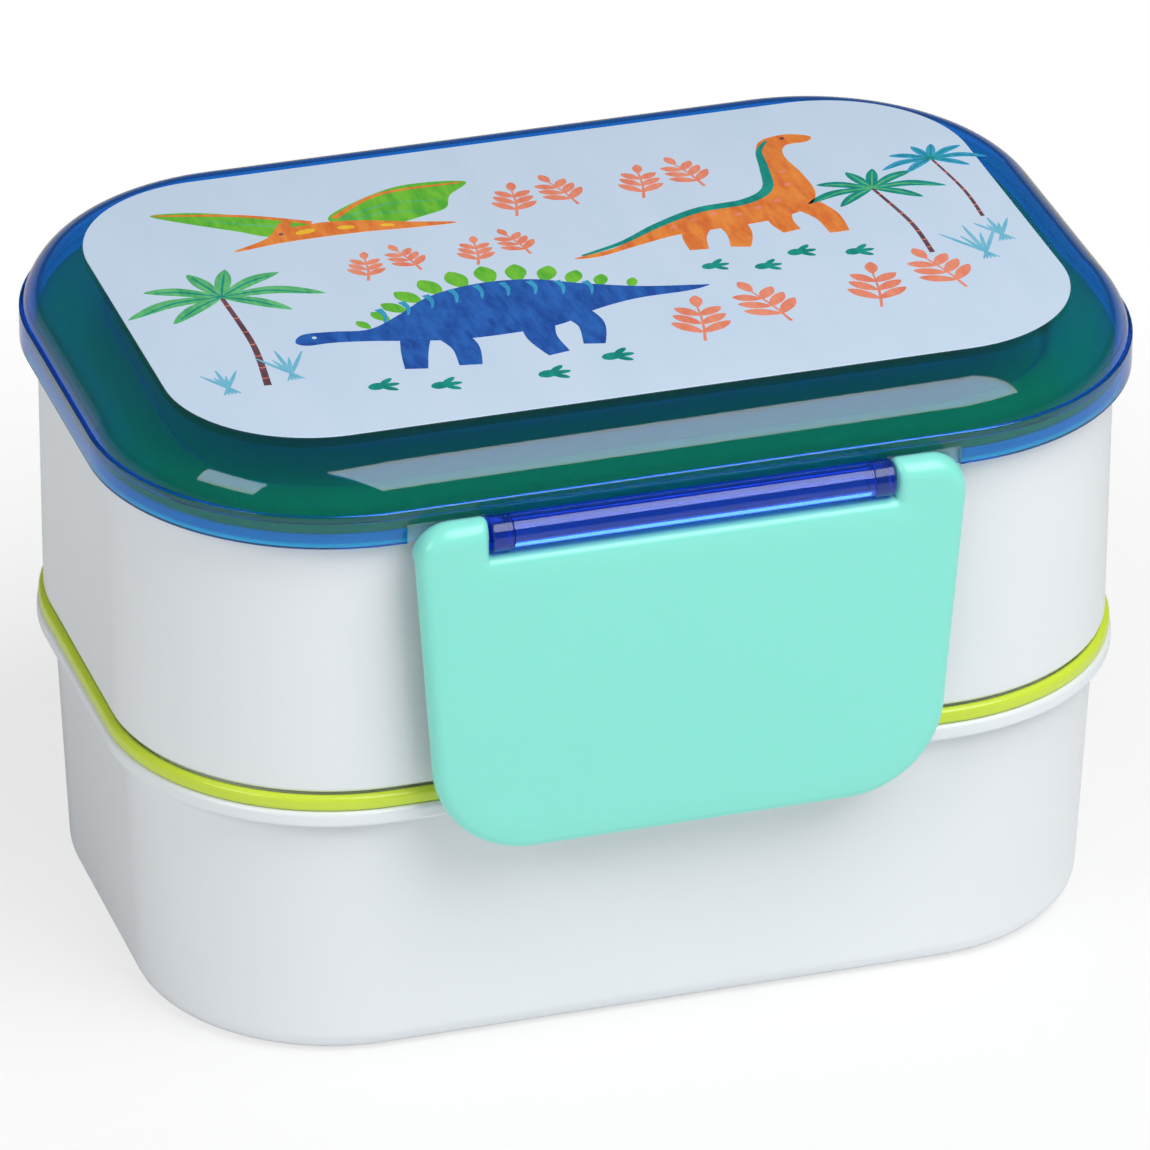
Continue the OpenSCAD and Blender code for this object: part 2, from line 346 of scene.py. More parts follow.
def carve(piece: bpy.types.Object, rods: Sequence[Rod], crease: float = 40.0) -> bpy.types.Object:
    """Cuts rods out of a piece for good.

    Args:
        piece: The piece to cut.
        rods: The rods.
        crease: Angle in degrees above which an edge stays sharp.

    Returns:
        The same piece.
    """
    mesh = Mesh()
    for rod in rods:
        mesh.tube(rod.sections())
    cutter = mesh.build(piece.name + "_cutter", 180)
    cutter.data.materials.append(piece.data.materials[-1])
    cut = piece.modifiers.new("cut", "BOOLEAN")
    cut.operation = "DIFFERENCE"
    cut.solver = "EXACT"
    cut.object = cutter
    piece.modifiers["even_shading"].show_viewport = False
    bpy.context.view_layer.update()
    shaped = bpy.data.meshes.new_from_object(piece.evaluated_get(bpy.context.evaluated_depsgraph_get()))
    piece.modifiers.remove(cut)
    piece.modifiers["even_shading"].show_viewport = True
    uncut = piece.data
    piece.data = shaped
    bpy.data.meshes.remove(uncut)
    bpy.data.objects.remove(cutter)
    shaped.polygons.foreach_set("use_smooth", [True] * len(shaped.polygons))
    shaped.set_sharp_from_angle(angle=math.radians(crease))
    return piece


# ------------------------------------------------------------------------------------------------- finishes


class Nodes:
    """Adds and joins the shader nodes of one material."""

    def __init__(self, name: str) -> None:
        """Starts an empty material of this name."""
        self.material = bpy.data.materials.new(name)
        self.material.use_nodes = True
        self.tree = self.material.node_tree
        self.tree.nodes.clear()
        self.output = self.tree.nodes.new("ShaderNodeOutputMaterial")

    def add(self, kind: str, **inputs: object) -> bpy.types.Node:
        """Adds a node and sets its inputs, whose names are given with underscores for spaces.

        Args:
            kind: The node's type, without its ShaderNode prefix.
            **inputs: A value or another node's output socket for each input.

        Returns:
            The new node.
        """
        node = self.tree.nodes.new("ShaderNode" + kind)
        for label, value in inputs.items():
            socket = node.inputs[label.replace("_", " ")]
            if isinstance(value, bpy.types.NodeSocket):
                self.tree.links.new(value, socket)
            elif isinstance(value, tuple) and len(value) == 3 and socket.type == "RGBA":
                socket.default_value = (*value, 1)
            else:
                socket.default_value = value
        return node

    def places(self) -> bpy.types.NodeSocket:
        """Gives the place on the piece, in the part's own frame."""
        return self.add("TexCoord").outputs["Object"]

    def speckle(self, places: bpy.types.NodeSocket, size: float, detail: float = 3.0) -> bpy.types.NodeSocket:
        """Gives a noise whose patches are about size millimetres wide."""
        node = self.add("TexNoise", Vector=places, Scale=1 / (size * MM), Detail=detail, Roughness=0.55)
        return node.outputs["Fac"]

    def stretch(self, value: bpy.types.NodeSocket, low: float, high: float, start: float = 0.1,
                end: float = 0.9) -> bpy.types.NodeSocket:
        """Maps a noise from start..end on to low..high, wide enough by default to leave no flat patches."""
        node = self.add("MapRange", Value=value, From_Min=start, From_Max=end, To_Min=low, To_Max=high)
        return node.outputs["Result"]

    def blend(self, share: bpy.types.NodeSocket, first: Colour, second: Colour) -> bpy.types.NodeSocket:
        """Gives a colour between two by a share.

        Args:
            share: Output that gives the share.
            first: Colour at 0.
            second: Colour at 1.

        Returns:
            The colour's output.
        """
        node = self.tree.nodes.new("ShaderNodeMix")
        node.data_type = "RGBA"
        self.tree.links.new(share, node.inputs["Factor"])
        for socket in node.inputs:
            if socket.type == "RGBA" and socket.name in "AB":
                socket.default_value = (*(first if socket.name == "A" else second), 1)
        return next(socket for socket in node.outputs if socket.type == "RGBA")

    def finish(self, surface: bpy.types.Node, volume: bpy.types.Node | None = None) -> bpy.types.Material:
        """Joins the surface, and a volume if there is one, to the output.

        Args:
            surface: Shader node of the surface.
            volume: Shader node of the inside, if there is one.

        Returns:
            The finished material.
        """
        self.tree.links.new(surface.outputs[0], self.output.inputs["Surface"])
        if volume is not None:
            self.tree.links.new(volume.outputs[0], self.output.inputs["Volume"])
        return self.material


@dataclass(frozen=True)
class MouldedPlastic:
    """Opaque injection-moulded plastic with a faint flow tone, an uneven sheen and fine surface waviness.

    Attributes:
        name: Name of the material.
        colour: Its linear colour.
        tone: Linear colour of the fainter flow patches.
        roughness: Lowest and highest roughness over the surface.
        glow: Share of light that scatters inside.
        waviness: Height in millimetres of the surface's fine waviness.
    """

    name: str
    colour: Colour
    tone: Colour
    roughness: tuple[float, float] = (0.26, 0.36)
    glow: float = 0.12
    waviness: float = 0.012

    def material(self) -> bpy.types.Material:
        """Builds the material.

        Returns:
            The material, ready for a slot.
        """
        nodes = Nodes(self.name)
        places = nodes.places()
        flow = nodes.stretch(nodes.speckle(places, 38, 2), 0.0, 1.0)
        sheen = nodes.stretch(nodes.speckle(places, 14, 1), *self.roughness)
        broad = nodes.add("Bump", Height=nodes.speckle(places, 24, 0), Strength=0.3,
                          Distance=self.waviness * 4 * MM)
        fine = nodes.add("Bump", Height=nodes.speckle(places, 0.8, 2), Strength=0.25,
                         Distance=self.waviness * 0.3 * MM, Normal=broad.outputs["Normal"])
        shader = nodes.add("BsdfPrincipled", Base_Color=nodes.blend(flow, self.colour, self.tone),
                           Roughness=sheen, Normal=fine.outputs["Normal"], IOR=1.49,
                           Subsurface_Weight=self.glow, Subsurface_Scale=0.002,
                           Subsurface_Radius=(1.0, 0.9, 0.8))
        return nodes.finish(shader)


@dataclass(frozen=True)
class ClearPlastic:
    """Clear tinted plastic: it colours what is behind it, and darkens where it is looked at edge on.

    Attributes:
        name: Name of the material.
        tint: Linear colour that passes one wall.
        depth_tint: Linear colour that long paths inside turn to.
        density: How fast long paths take that colour, per metre.
        clearness: Share of light that passes and isn't scattered.
        scratches: Height in millimetres of the fine handling marks.
    """

    name: str
    tint: Colour
    depth_tint: Colour
    density: float
    clearness: float = 0.9
    scratches: float = 0.004

    def material(self) -> bpy.types.Material:
        """Builds the material.

        Returns:
            The material, ready for a slot.
        """
        nodes = Nodes(self.name)
        places = nodes.places()
        turned = nodes.add("Mapping", Vector=places, Rotation=(0.0, 0.0, 0.7), Scale=(1.0, 0.08, 1.0))
        marks = nodes.stretch(nodes.speckle(turned.outputs["Vector"], 0.8, 5), 0.0, 1.0, 0.62, 0.75)
        waves = nodes.add("Bump", Height=nodes.speckle(places, 22, 1), Strength=0.2, Distance=0.05 * MM)
        worn = nodes.add("Bump", Height=marks, Strength=0.35, Distance=self.scratches * MM,
                         Normal=waves.outputs["Normal"])
        shader = nodes.add("BsdfPrincipled", Base_Color=self.tint, Roughness=0.04, IOR=1.49,
                           Transmission_Weight=self.clearness, Normal=worn.outputs["Normal"])
        depth = nodes.add("VolumeAbsorption", Color=self.depth_tint, Density=self.density)
        return nodes.finish(shader, depth)


@dataclass(frozen=True)
class Silicone:
    """Soft milky silicone rubber with a dusty, uneven sheen.

    Attributes:
        name: Name of the material.
        colour: Its linear colour.
    """

    name: str
    colour: Colour

    def material(self) -> bpy.types.Material:
        """Builds the material.

        Returns:
            The material, ready for a slot.
        """
        nodes = Nodes(self.name)
        places = nodes.places()
        dust = nodes.stretch(nodes.speckle(places, 3, 5), 0.45, 0.7)
        tone = nodes.stretch(nodes.speckle(places, 12), 0.0, 1.0)
        darker = tuple(channel * 0.9 for channel in self.colour)
        grain = nodes.add("Bump", Height=nodes.speckle(places, 0.4, 4), Strength=0.4, Distance=0.01 * MM)
        shader = nodes.add("BsdfPrincipled", Base_Color=nodes.blend(tone, self.colour, darker),
                           Roughness=dust, Normal=grain.outputs["Normal"], IOR=1.41,
                           Subsurface_Weight=0.5, Subsurface_Scale=0.002)
        return nodes.finish(shader)


@dataclass(frozen=True)
class PrintedInk:
    """Ink or paper tone of the printed panel, mottled like a brush-painted print under a clear film.

    Attributes:
        name: Name of the material.
        colour: Its linear colour.
        shade: Linear colour of the deeper brush marks.
        grain: Width in millimetres of the brush marks.
        roughness: Lowest and highest roughness.
    """

    name: str
    colour: Colour
    shade: Colour
    grain: float = 1.6
    roughness: tuple[float, float] = (0.3, 0.42)

    def material(self) -> bpy.types.Material:
        """Builds the material.

        Returns:
            The material, ready for a slot.
        """
        nodes = Nodes(self.name)
        places = nodes.places()
        brushed = nodes.add("Mapping", Vector=places, Rotation=(0.0, 0.0, 0.5), Scale=(1.0, 0.3, 1.0))
        strokes = nodes.stretch(nodes.speckle(brushed.outputs["Vector"], self.grain, 5), 0.0, 1.0, 0.38, 0.66)
        sheen = nodes.stretch(nodes.speckle(places, 6), *self.roughness)
        film = nodes.add("Bump", Height=nodes.speckle(places, 0.7, 3), Strength=0.25, Distance=0.004 * MM)
        shader = nodes.add("BsdfPrincipled", Base_Color=nodes.blend(strokes, self.colour, self.shade),
                           Roughness=sheen, Normal=film.outputs["Normal"], IOR=1.5)
        return nodes.finish(shader)


class Palette(Enum):
    """Every finish of the box, by the name of the piece or print that wears it."""

    TIER = MouldedPlastic("tier_plastic", srgb(218, 225, 230), srgb(213, 221, 228))
    LIME = MouldedPlastic("lime_plastic", srgb(220, 250, 92), srgb(214, 246, 80), roughness=(0.22, 0.32))
    CLIP = MouldedPlastic("clip_plastic", srgb(140, 235, 219), srgb(138, 233, 217), roughness=(0.27, 0.3))
    GASKET = Silicone("gasket_silicone", srgb(238, 238, 232))
    DOME = ClearPlastic("dome_plastic", (0.05, 1.0, 0.95), (0.05, 0.25, 0.92), 520.0, 0.965)
    SKIRT = ClearPlastic("skirt_plastic", (0.6, 0.92, 1.0), (0.3, 0.5, 0.98), 50.0, 0.6)
    BAR = ClearPlastic("bar_plastic", (0.06, 0.25, 0.95), (0.3, 0.3, 0.98), 200.0, 0.93)
    PANEL = PrintedInk("panel_print", srgb(207, 225, 245), srgb(203, 222, 243), 9.0, (0.24, 0.32))
    ORANGE = PrintedInk("orange_ink", srgb(240, 146, 66), srgb(222, 112, 52))
    CORAL = PrintedInk("coral_ink", srgb(240, 150, 122), srgb(230, 128, 100))
    BLUE = PrintedInk("blue_ink", srgb(42, 104, 190), srgb(28, 76, 160))
    SKY = PrintedInk("sky_ink", srgb(64, 168, 208), srgb(46, 148, 196))
    TEAL = PrintedInk("teal_ink", srgb(24, 156, 142), srgb(10, 132, 122))
    LEAF = PrintedInk("leaf_ink", srgb(110, 198, 128), srgb(70, 172, 112))
    GRASS_GREEN = PrintedInk("grass_ink", srgb(120, 200, 60), srgb(84, 178, 56))
    YELLOW = PrintedInk("yellow_ink", srgb(248, 206, 60), srgb(240, 186, 44))
    BARK = PrintedInk("bark_ink", srgb(122, 82, 92), srgb(96, 62, 74))
    PALE = PrintedInk("pale_ink", srgb(126, 196, 220), srgb(104, 182, 212))

    def material(self) -> bpy.types.Material:
        """Gives this finish's material, made the first time it is asked for."""
        found = bpy.data.materials.get(self.value.name)
        return found or self.value.material()


def dress(piece: bpy.types.Object, *finishes: Palette) -> bpy.types.Object:
    """Puts finishes in an object's material slots, in order, and gives the object back.

    Args:
        piece: The object, whose slots are emptied first. That sets all its faces to the first slot.
        *finishes: The finishes, in order.

    Returns:
        The same object.
    """
    piece.data.materials.clear()
    for finish in finishes:
        piece.data.materials.append(finish.material())
    return piece


# ---------------------------------------------------------------------------------------------- plan outline


@dataclass(frozen=True)
class Plan:
    """The rounded rectangle that every loop round the box follows.

    Attributes:
        centre_x: Distance along X from the middle to a corner's centre.
        centre_y: The same along Y.
        corner_steps: Steps round each corner.
        long_steps: Steps along each long side.
        short_steps: Steps along each short side.
    """

    centre_x: float
    centre_y: float
    corner_steps: int = 26
    long_steps: int = 12
    short_steps: int = 6

    @staticmethod
    def from_cover(corner_radius: float) -> "Plan":
        """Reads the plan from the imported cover, the largest loop.

        Args:
            corner_radius: Radius of the cover's corners.

        Returns:
            The plan all pieces share.
        """
        centre_x = node_box("cover")[1].x - corner_radius
        lid = node_box("inner_lid")[1]
        return Plan(centre_x, centre_x - (lid.x - lid.y))

    def ring(self, radius: float) -> list[Point]:
        """Gives the loop's points at a radius from the corner centres, anticlockwise from the front right.

        Args:
            radius: Distance from the corner centres.

        Returns:
            The points.
        """
        points: list[Point] = []
        sides = ((1, -1, self.short_steps), (1, 1, self.long_steps), (-1, 1, self.short_steps),
                 (-1, -1, self.long_steps))
        for index, (along, across, steps) in enumerate(sides):
            centre = (along * self.centre_x, across * self.centre_y)
            points += arc(centre, radius, 90 * index - 90, 90 * index, self.corner_steps)
            following = sides[(index + 1) % 4]
            spoke = math.radians(90 * index)
            end = (following[0] * self.centre_x + radius * math.cos(spoke),
                   following[1] * self.centre_y + radius * math.sin(spoke))
            start = points[-1]
            points += [(mix(start[0], end[0], step / steps), mix(start[1], end[1], step / steps))
                       for step in range(1, steps)]
        return points

    def sweep(self, profile: Sequence[Point], closed: bool, slots: Sequence[int] | None = None) -> Mesh:
        """Sweeps a profile of radius and height once round the box.

        Args:
            profile: The profile's points. An open one starts and ends inside, and both ends are capped flat.
            closed: Whether the profile joins up with its start.
            slots: Material slot of each strip of the profile.

        Returns:
            The swept mesh.
        """
        mesh = Mesh()
        rows = [[(x, y, height) for x, y in self.ring(radius)] for radius, height in profile]
        mesh.grid(rows, True, closed, slots)
        if not closed:
            width = len(rows[0])
            mesh.cap(0, width, True, slots[0] if slots else 0)
            mesh.cap(len(rows) - 1, width, False, slots[-1] if slots else 0)
        return mesh


# ---------------------------------------------------------------------------------------------------- tiers


@dataclass
class LowerTier:
    """The lower food tier: a tapered tub whose rim turns down outside its wall.

    Attributes:
        plan: Plan the loops follow.
        wall: Thickness of wall and floor.
        rim_in: How far the wall lies inside the rim.
        rim_height: Height of the rim.
        lip: Thickness of the rim's turned-down lip.
        draft: How far the wall leans in down to the base.
        base_round: Radius between wall and base.
        recess: Depth of the recess under the base.
        foot_ring: Width of the ring the box stands on.
    """

    plan: Plan
    wall: float = 1.8
    rim_in: float = 2.85
    rim_height: float = 2.8
    lip: float = 1.4
    draft: float = 2.2
    base_round: float = 4.2
    recess: float = 0.8
    foot_ring: float = 2.4

    def profile(self) -> list[Point]:
        """Gives the wall's outline from under the middle round to the floor's middle.

        Returns:
            The points, each a radius and a height.
        """
        high = node_box("lower_tier")[1]
        rim = high.x - self.plan.centre_x
        top = high.z
        wall_top = rim - self.rim_in
        base = wall_top - self.draft
        ring = base - self.base_round
        middle = ring / 2
        return rounded([
            (middle, self.recess, 0),
            (ring - self.foot_ring - self.recess, self.recess, 0.6),
            (ring - self.foot_ring, 0, 0.5),
            (base, 0, self.base_round),
            (wall_top, top - self.lip, 0.35),
            (rim - self.lip, top - self.lip, 0.4),
            (rim - self.lip, top - self.rim_height, 0.65),
            (rim, top - self.rim_height, 0.7),
            (rim, top, 0.85),
            (wall_top - self.wall, top, 0.45),
            (base - self.wall, self.recess + self.wall, 3.0),
            (middle, self.recess + self.wall, 0),
        ], steps=9)

    def build(self) -> bpy.types.Object:
        """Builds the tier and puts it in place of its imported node.

        Returns:
            The tier, riding on its body.
        """
        piece = dress(self.plan.sweep(self.profile(), False).build("lower_tub"), Palette.TIER)
        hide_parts("lower_tier")
        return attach(piece, "lower_tier")


@dataclass
class UpperTier:
    """The upper food tier: an almost straight tub with a foot that nests in the middle lid.

    Attributes:
        plan: Plan the loops follow.
        wall: Thickness of wall and floor.
        rim_out: How far the rim stands out of the wall.
        rim_height: Height of the rim.
        draft: How far the wall leans in down to the foot.
        foot_in: How far the foot is set in.
        foot_height: Height of the foot.
        inner_lean: How much further the inner face leans in down to the floor.
        divider_gap: Hair's breadth between the floor and the divider's foot.
    """

    plan: Plan
    wall: float = 1.8
    rim_out: float = 0.9
    rim_height: float = 2.0
    draft: float = 0.15
    foot_in: float = 1.45
    foot_height: float = 1.7
    inner_lean: float = 0.55
    divider_gap: float = 0.03

    def profile(self) -> list[Point]:
        """Gives the wall's outline from under the middle round to the floor's middle.

        Returns:
            The points, each a radius and a height.
        """
        low, high = node_box("upper_tier")
        rim = high.x - self.plan.centre_x
        wall = rim - self.rim_out
        foot_wall = wall - self.draft
        step = low.z + self.foot_height
        inner_floor = foot_wall - self.wall - self.inner_lean
        floor = low.z + self.wall - self.divider_gap
        middle = rim / 2
        return rounded([
            (middle, low.z, 0),
            (foot_wall - self.foot_in, low.z, 0.8),
            (foot_wall - self.foot_in, step, 0.2),
            (foot_wall, step, 0.9),
            (wall, high.z - self.rim_height, 0.3),
            (rim, high.z - self.rim_height, 0.4),
            (rim, high.z, 0.45),
            (wall - self.wall, high.z, 0.45),
            (inner_floor, floor, 3.0),
            (middle, floor, 0),
        ], steps=9)

    def build(self) -> bpy.types.Object:
        """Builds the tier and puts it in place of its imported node.

        Returns:
            The tier, riding on its body.
        """
        piece = dress(self.plan.sweep(self.profile(), False).build("upper_tub"), Palette.TIER)
        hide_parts("upper_tier")
        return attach(piece, "upper_tier")


# ----------------------------------------------------------------------------------------------- seal lids


@dataclass
class SealLids:
    """The two lime lids, with the silicone gasket in each one's plug.

    Attributes:
        plan: Plan the loops follow.
        sheet: Thickness of a lid.
        plug_depth: Depth of the plug under a lid.
        plug_wall: Thickness of the plug.
        gasket_height: Height of a gasket.
        gasket_depth: Depth of its groove.
        gasket_rise: Height of the groove above the plug's end.
        bead_wall: Thickness of the middle lid's bead.
        step: How far the inner lid's middle is set down.
        sunk_share: How far out the inner lid's sunk middle reaches, as a share of its rim's radius.
        lip_notch: Depth of the notch between a gasket's two lips.
    """

    plan: Plan
    sheet: float = 1.4
    plug_depth: float = 4.4
    plug_wall: float = 1.7
    gasket_height: float = 2.0
    gasket_depth: float = 0.7
    gasket_rise: float = 1.2
    bead_wall: float = 1.97
    step: float = 1.2
    sunk_share: float = 0.68
    lip_notch: float = 0.35

    def gasket_faces(self, name: str) -> tuple[float, float, float, float]:
        """Reads a gasket's place.

        Args:
            name: Name of the gasket's node.

        Returns:
            Its root radius, lip radius, lowest and highest heights.
        """
        low, high = node_box(name)
        lip = high.x - self.plan.centre_x
        return lip - PLUG_PLAY - self.gasket_depth, lip, low.z, high.z

    def plug(self, gasket: str, top: float) -> list[Corner]:
        """Gives the corners of a plug, from its inner top round to its outer top.

        Args:
            gasket: Name of the gasket's node.
            top: Height of the lid's underside.

        Returns:
            The corners, each a radius, a height and a rounding.
        """
        root, lip, low, high = self.gasket_faces(gasket)
        outer = lip - PLUG_PLAY
        end = low - self.gasket_rise
        inner = outer - self.plug_wall
        return [(inner, top, 0.4), (inner, end, 0.3), (outer, end, 0.4), (outer, low, 0.15), (root, low, 0.1),
                (root, high, 0.1), (outer, high, 0.15), (outer, top, 0.2)]

    def middle_profile(self) -> list[Point]:
        """Gives the middle lid's outline, from under its middle round to its top's middle.

        Returns:
            The points, each a radius and a height.
        """
        low, high = node_box("middle_lid")
        bead = high.x - self.plan.centre_x
        seat = low.z + self.plug_depth
        radius = self.bead_wall / 2
        centre = self.plan.centre_y / 2
        return rounded([
            (centre, seat, 0), *self.plug("middle_lid_gasket", seat), (bead, seat, 0.8),
            (bead, high.z, radius * 0.98), (bead - self.bead_wall, high.z, radius * 0.98),
            (bead - self.bead_wall, seat + self.sheet, 0.5), (centre, seat + self.sheet, 0)], steps=9)

    def inner_profile(self) -> list[Point]:
        """Gives the inner lid's outline, from under its middle round to its top's middle.

        Returns:
            The points, each a radius and a height.
        """
        low, high = node_box("inner_lid")
        rim = high.x - self.plan.centre_x
        seat = low.z + self.plug_depth
        sunk = rim * self.sunk_share
        centre = self.plan.centre_y / 2
        under = high.z - self.sheet
        plug = self.plug("inner_lid_gasket", seat)
        plug[0] = (plug[0][0], under, 0.4)
        return rounded([
            (centre, under - self.step, 0), (sunk - self.step, under - self.step, 1.0), (sunk, under, 1.0),
            *plug, (rim, seat, 0.6), (rim, high.z, 0.7), (sunk, high.z, 1.2),
            (sunk - self.step, high.z - self.step, 1.2), (centre, high.z - self.step, 0)], steps=9)

    def gasket(self, node: str, body: str) -> bpy.types.Object:
        """Builds one gasket with two rounded lips.

        Args:
            node: Name of the gasket's node.
            body: Name of the lid it sits in.

        Returns:
            The gasket, riding on its lid.
        """
        root, lip, low, high = self.gasket_faces(node)
        middle = (low + high) / 2
        lip_round = self.gasket_height / 4
        profile = rounded([
            (root, low, 0.1), (lip, low, lip_round * 0.95), (lip, middle - 0.02, lip_round * 0.6),
            (lip - self.lip_notch, middle, 0.1), (lip, middle + 0.02, lip_round * 0.6),
            (lip, high, lip_round * 0.95), (root, high, 0.1)], closed=True, steps=5)
        piece = dress(self.plan.sweep(profile, True).build(node + "_ring"), Palette.GASKET)
        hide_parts(node)
        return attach(piece, body)

    def build(self) -> list[bpy.types.Object]:
        """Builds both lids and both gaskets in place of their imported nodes.

        Returns:
            The four pieces.
        """
        pieces = []
        for body, profile in (("middle_lid", self.middle_profile()), ("inner_lid", self.inner_profile())):
            piece = dress(self.plan.sweep(profile, False).build(body + "_shell"), Palette.LIME)
            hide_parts(body)
            pieces.append(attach(piece, body))
            pieces.append(self.gasket(body + "_gasket", body))
        return pieces


@dataclass
class Divider:
    """The loose divider of the upper tier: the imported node, with its edges softened.

    Attributes:
        edge: Width of the softened edges.
    """

    edge: float = 0.3

    def build(self) -> bpy.types.Object:
        """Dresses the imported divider.

        Returns:
            The divider.
        """
        piece = dress(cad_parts["divider"], Palette.LIME)
        softened = piece.modifiers.new("softened_edges", "BEVEL")
        softened.width = self.edge * MM
        softened.segments = 3
        softened.limit_method = "ANGLE"
        softened.angle_limit = math.radians(40)
        return piece


# ---------------------------------------------------------------------------------------------------- cover


class Side(Enum):
    """A long side of the box, by the direction it faces along Y."""

    FRONT = -1
    BACK = 1


@dataclass
class Cover:
    """The clear blue cover: skirt, ledge, rounded shoulder and flat top, with a hinge bar front and back.

    Attributes:
        plan: Plan the loops follow.
        skirt_wall: Thickness of the skirt.
        skirt_height: Height of the skirt.
        skirt_drop: How far the skirt reaches below the upper tier's rim.
        dome_wall: Thickness of the dome.
        shoulder: Radius of the dome's shoulder.
        ledge: Width of the ledge on the skirt.
        bar_out: Distance from the skirt to a bar's axis.
        bar_radius: Radius of a hinge bar.
        bar_wall: Thickness of a bar's shell.
        bar_half: Half the length of a bar.
        end_block: Length of the solid block at each end of a bar.
        hood_end: Height above the axis at which a bar's hood meets the skirt.
        hood_lip: Angle in degrees below level at which a bar's hood ends.
        bar_edge: Width of the softened edges at a bar's ends.
        bar_gap: Hair's breadth between a bar's solids.
        flat_edge: Width of the flat top's outermost strip.
        shoulder_steps: Steps round the shoulder.
        pocket_x: Place along X of the pockets in the skirt behind the clips' ears.
        pocket_length: Length of a pocket.
        pocket_radius: Radius of a pocket about the hinge axis.
        pin_radius: Radius of the pins at a bar's ends.
        pin_length: Length of each pin.
    """

    plan: Plan
    skirt_wall: float = 1.8
    skirt_height: float = 6.1
    skirt_drop: float = 2.2
    dome_wall: float = 1.8
    shoulder: float = 11.1
    ledge: float = 0.6
    bar_out: float = 2.4
    bar_radius: float = 3.1
    bar_wall: float = 1.25
    bar_half: float = 34.5
    end_block: float = 3.6
    hood_end: float = 0.6
    hood_lip: float = 35.0
    bar_edge: float = 0.25
    bar_gap: float = 0.02
    flat_edge: float = 4.0
    shoulder_steps: int = 26
    pocket_x: float = 41.05
    pocket_length: float = 13.1
    pocket_radius: float = 3.45
    pin_radius: float = 1.4
    pin_length: float = 3.0

    def profile(self) -> tuple[list[Point], list[int]]:
        """Gives the cover's outline, from its top's middle down to the skirt and back inside.

        Returns:
            The points, and the material slot of each strip: 0 for the dome, 1 for the skirt.
        """
        high = node_box("cover")[1]
        skirt = high.x - self.plan.centre_x
        seat = node_box("inner_lid")[1].z
        low = node_box("upper_tier")[1].z - self.skirt_drop
        ledge = low + self.skirt_height
        top = high.z
        dome = skirt - self.ledge
        tilt = math.degrees(math.asin((self.shoulder - (top - ledge)) / self.shoulder))
        flat = dome - self.shoulder * math.cos(math.radians(tilt))
        middle = flat / 2
        outside = [(middle, top), (flat - self.flat_edge, top), (flat - 0.5, top)]
        outside += arc((flat, top - self.shoulder), self.shoulder, 90, tilt, self.shoulder_steps)
        skirt_points = rounded([
            (dome, ledge + 0.02, 0), (dome + 0.02, ledge, 0), (skirt, ledge, 0.35), (skirt, low, 0.5),
            (skirt - self.skirt_wall, low, 0.5), (skirt - self.skirt_wall, seat, 0.1),
            (dome - self.dome_wall, seat, 0)], steps=7)[1:]
        inner_width = dome - self.dome_wall - flat
        inner_height = top - self.dome_wall - seat
        count = self.shoulder_steps
        turns = [math.radians(step * 90 / count) for step in range(1, count + 1)]
        inside = [(flat + inner_width * math.cos(turn), seat + inner_height * math.sin(turn))
                  for turn in turns]
        inside += [(flat - self.flat_edge, top - self.dome_wall), (middle, top - self.dome_wall)]
        points = outside + skirt_points + inside
        slots = [0] * (len(outside) - 1) + [1] * len(skirt_points) + [0] * len(inside)
        return points, slots

    def hinge_axis(self) -> Point:
        """Gives the hinge axis's distance from the middle along Y, and its height."""
        return node_box("cover")[1].y - self.bar_radius, node_box("upper_tier")[1].z - HINGE_DROP

    def bar(self, side: Side) -> bpy.types.Object:
        """Builds one hinge bar: a hood open below, a solid block at each end and the pins.

        Args:
            side: The side of the box the bar is on.

        Returns:
            The bar, riding on the cover.
        """
        axis_y, axis_z = self.hinge_axis()
        inner = self.bar_radius - self.bar_wall
        reach = self.bar_out - 0.03
        turn = math.degrees(math.acos(-reach / self.bar_radius))
        hood = arc((0, 0), self.bar_radius, -self.hood_lip, turn, 26)
        hood += [(-reach, self.hood_end)] + arc((0, 0), inner, 160, -self.hood_lip, 20)
        block = arc((0, 0), self.bar_radius, -turn, turn, 36)
        pin = arc((0, 0), self.pin_radius, 0, 345, 23)
        edge, gap = self.bar_edge, self.bar_gap
        inset = ((0.0, edge), (edge * 0.4, edge * 0.32), (edge, 0.0))
        solids = (
            (hood, self.end_block - self.bar_half, self.bar_half - self.end_block, False),
            (block, -self.bar_half, self.end_block - self.bar_half - gap, True),
            (block, self.bar_half - self.end_block + gap, self.bar_half, True),
            (pin, -self.bar_half - self.pin_length, -self.bar_half - gap / 2, True),
            (pin, self.bar_half + gap / 2, self.bar_half + self.pin_length, True),
        )
        mesh = Mesh()
        for outline, start, end, soft in solids:
            stations = [(start + along, shrink) for along, shrink in inset]
            stations += [(end - along, shrink) for along, shrink in reversed(inset)]
            rows = []
            for x, shrink in stations:
                share = 1 - shrink / self.bar_radius if soft else 1.0
                row = [(x, side.value * (axis_y + out * share), axis_z + up * share) for out, up in outline]
                rows.append(row if side is Side.BACK else row[::-1])
            mesh.tube(rows)
        piece = dress(mesh.build(f"hinge_bar_{side.name.lower()}", 35), Palette.BAR)
        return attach(piece, "cover")

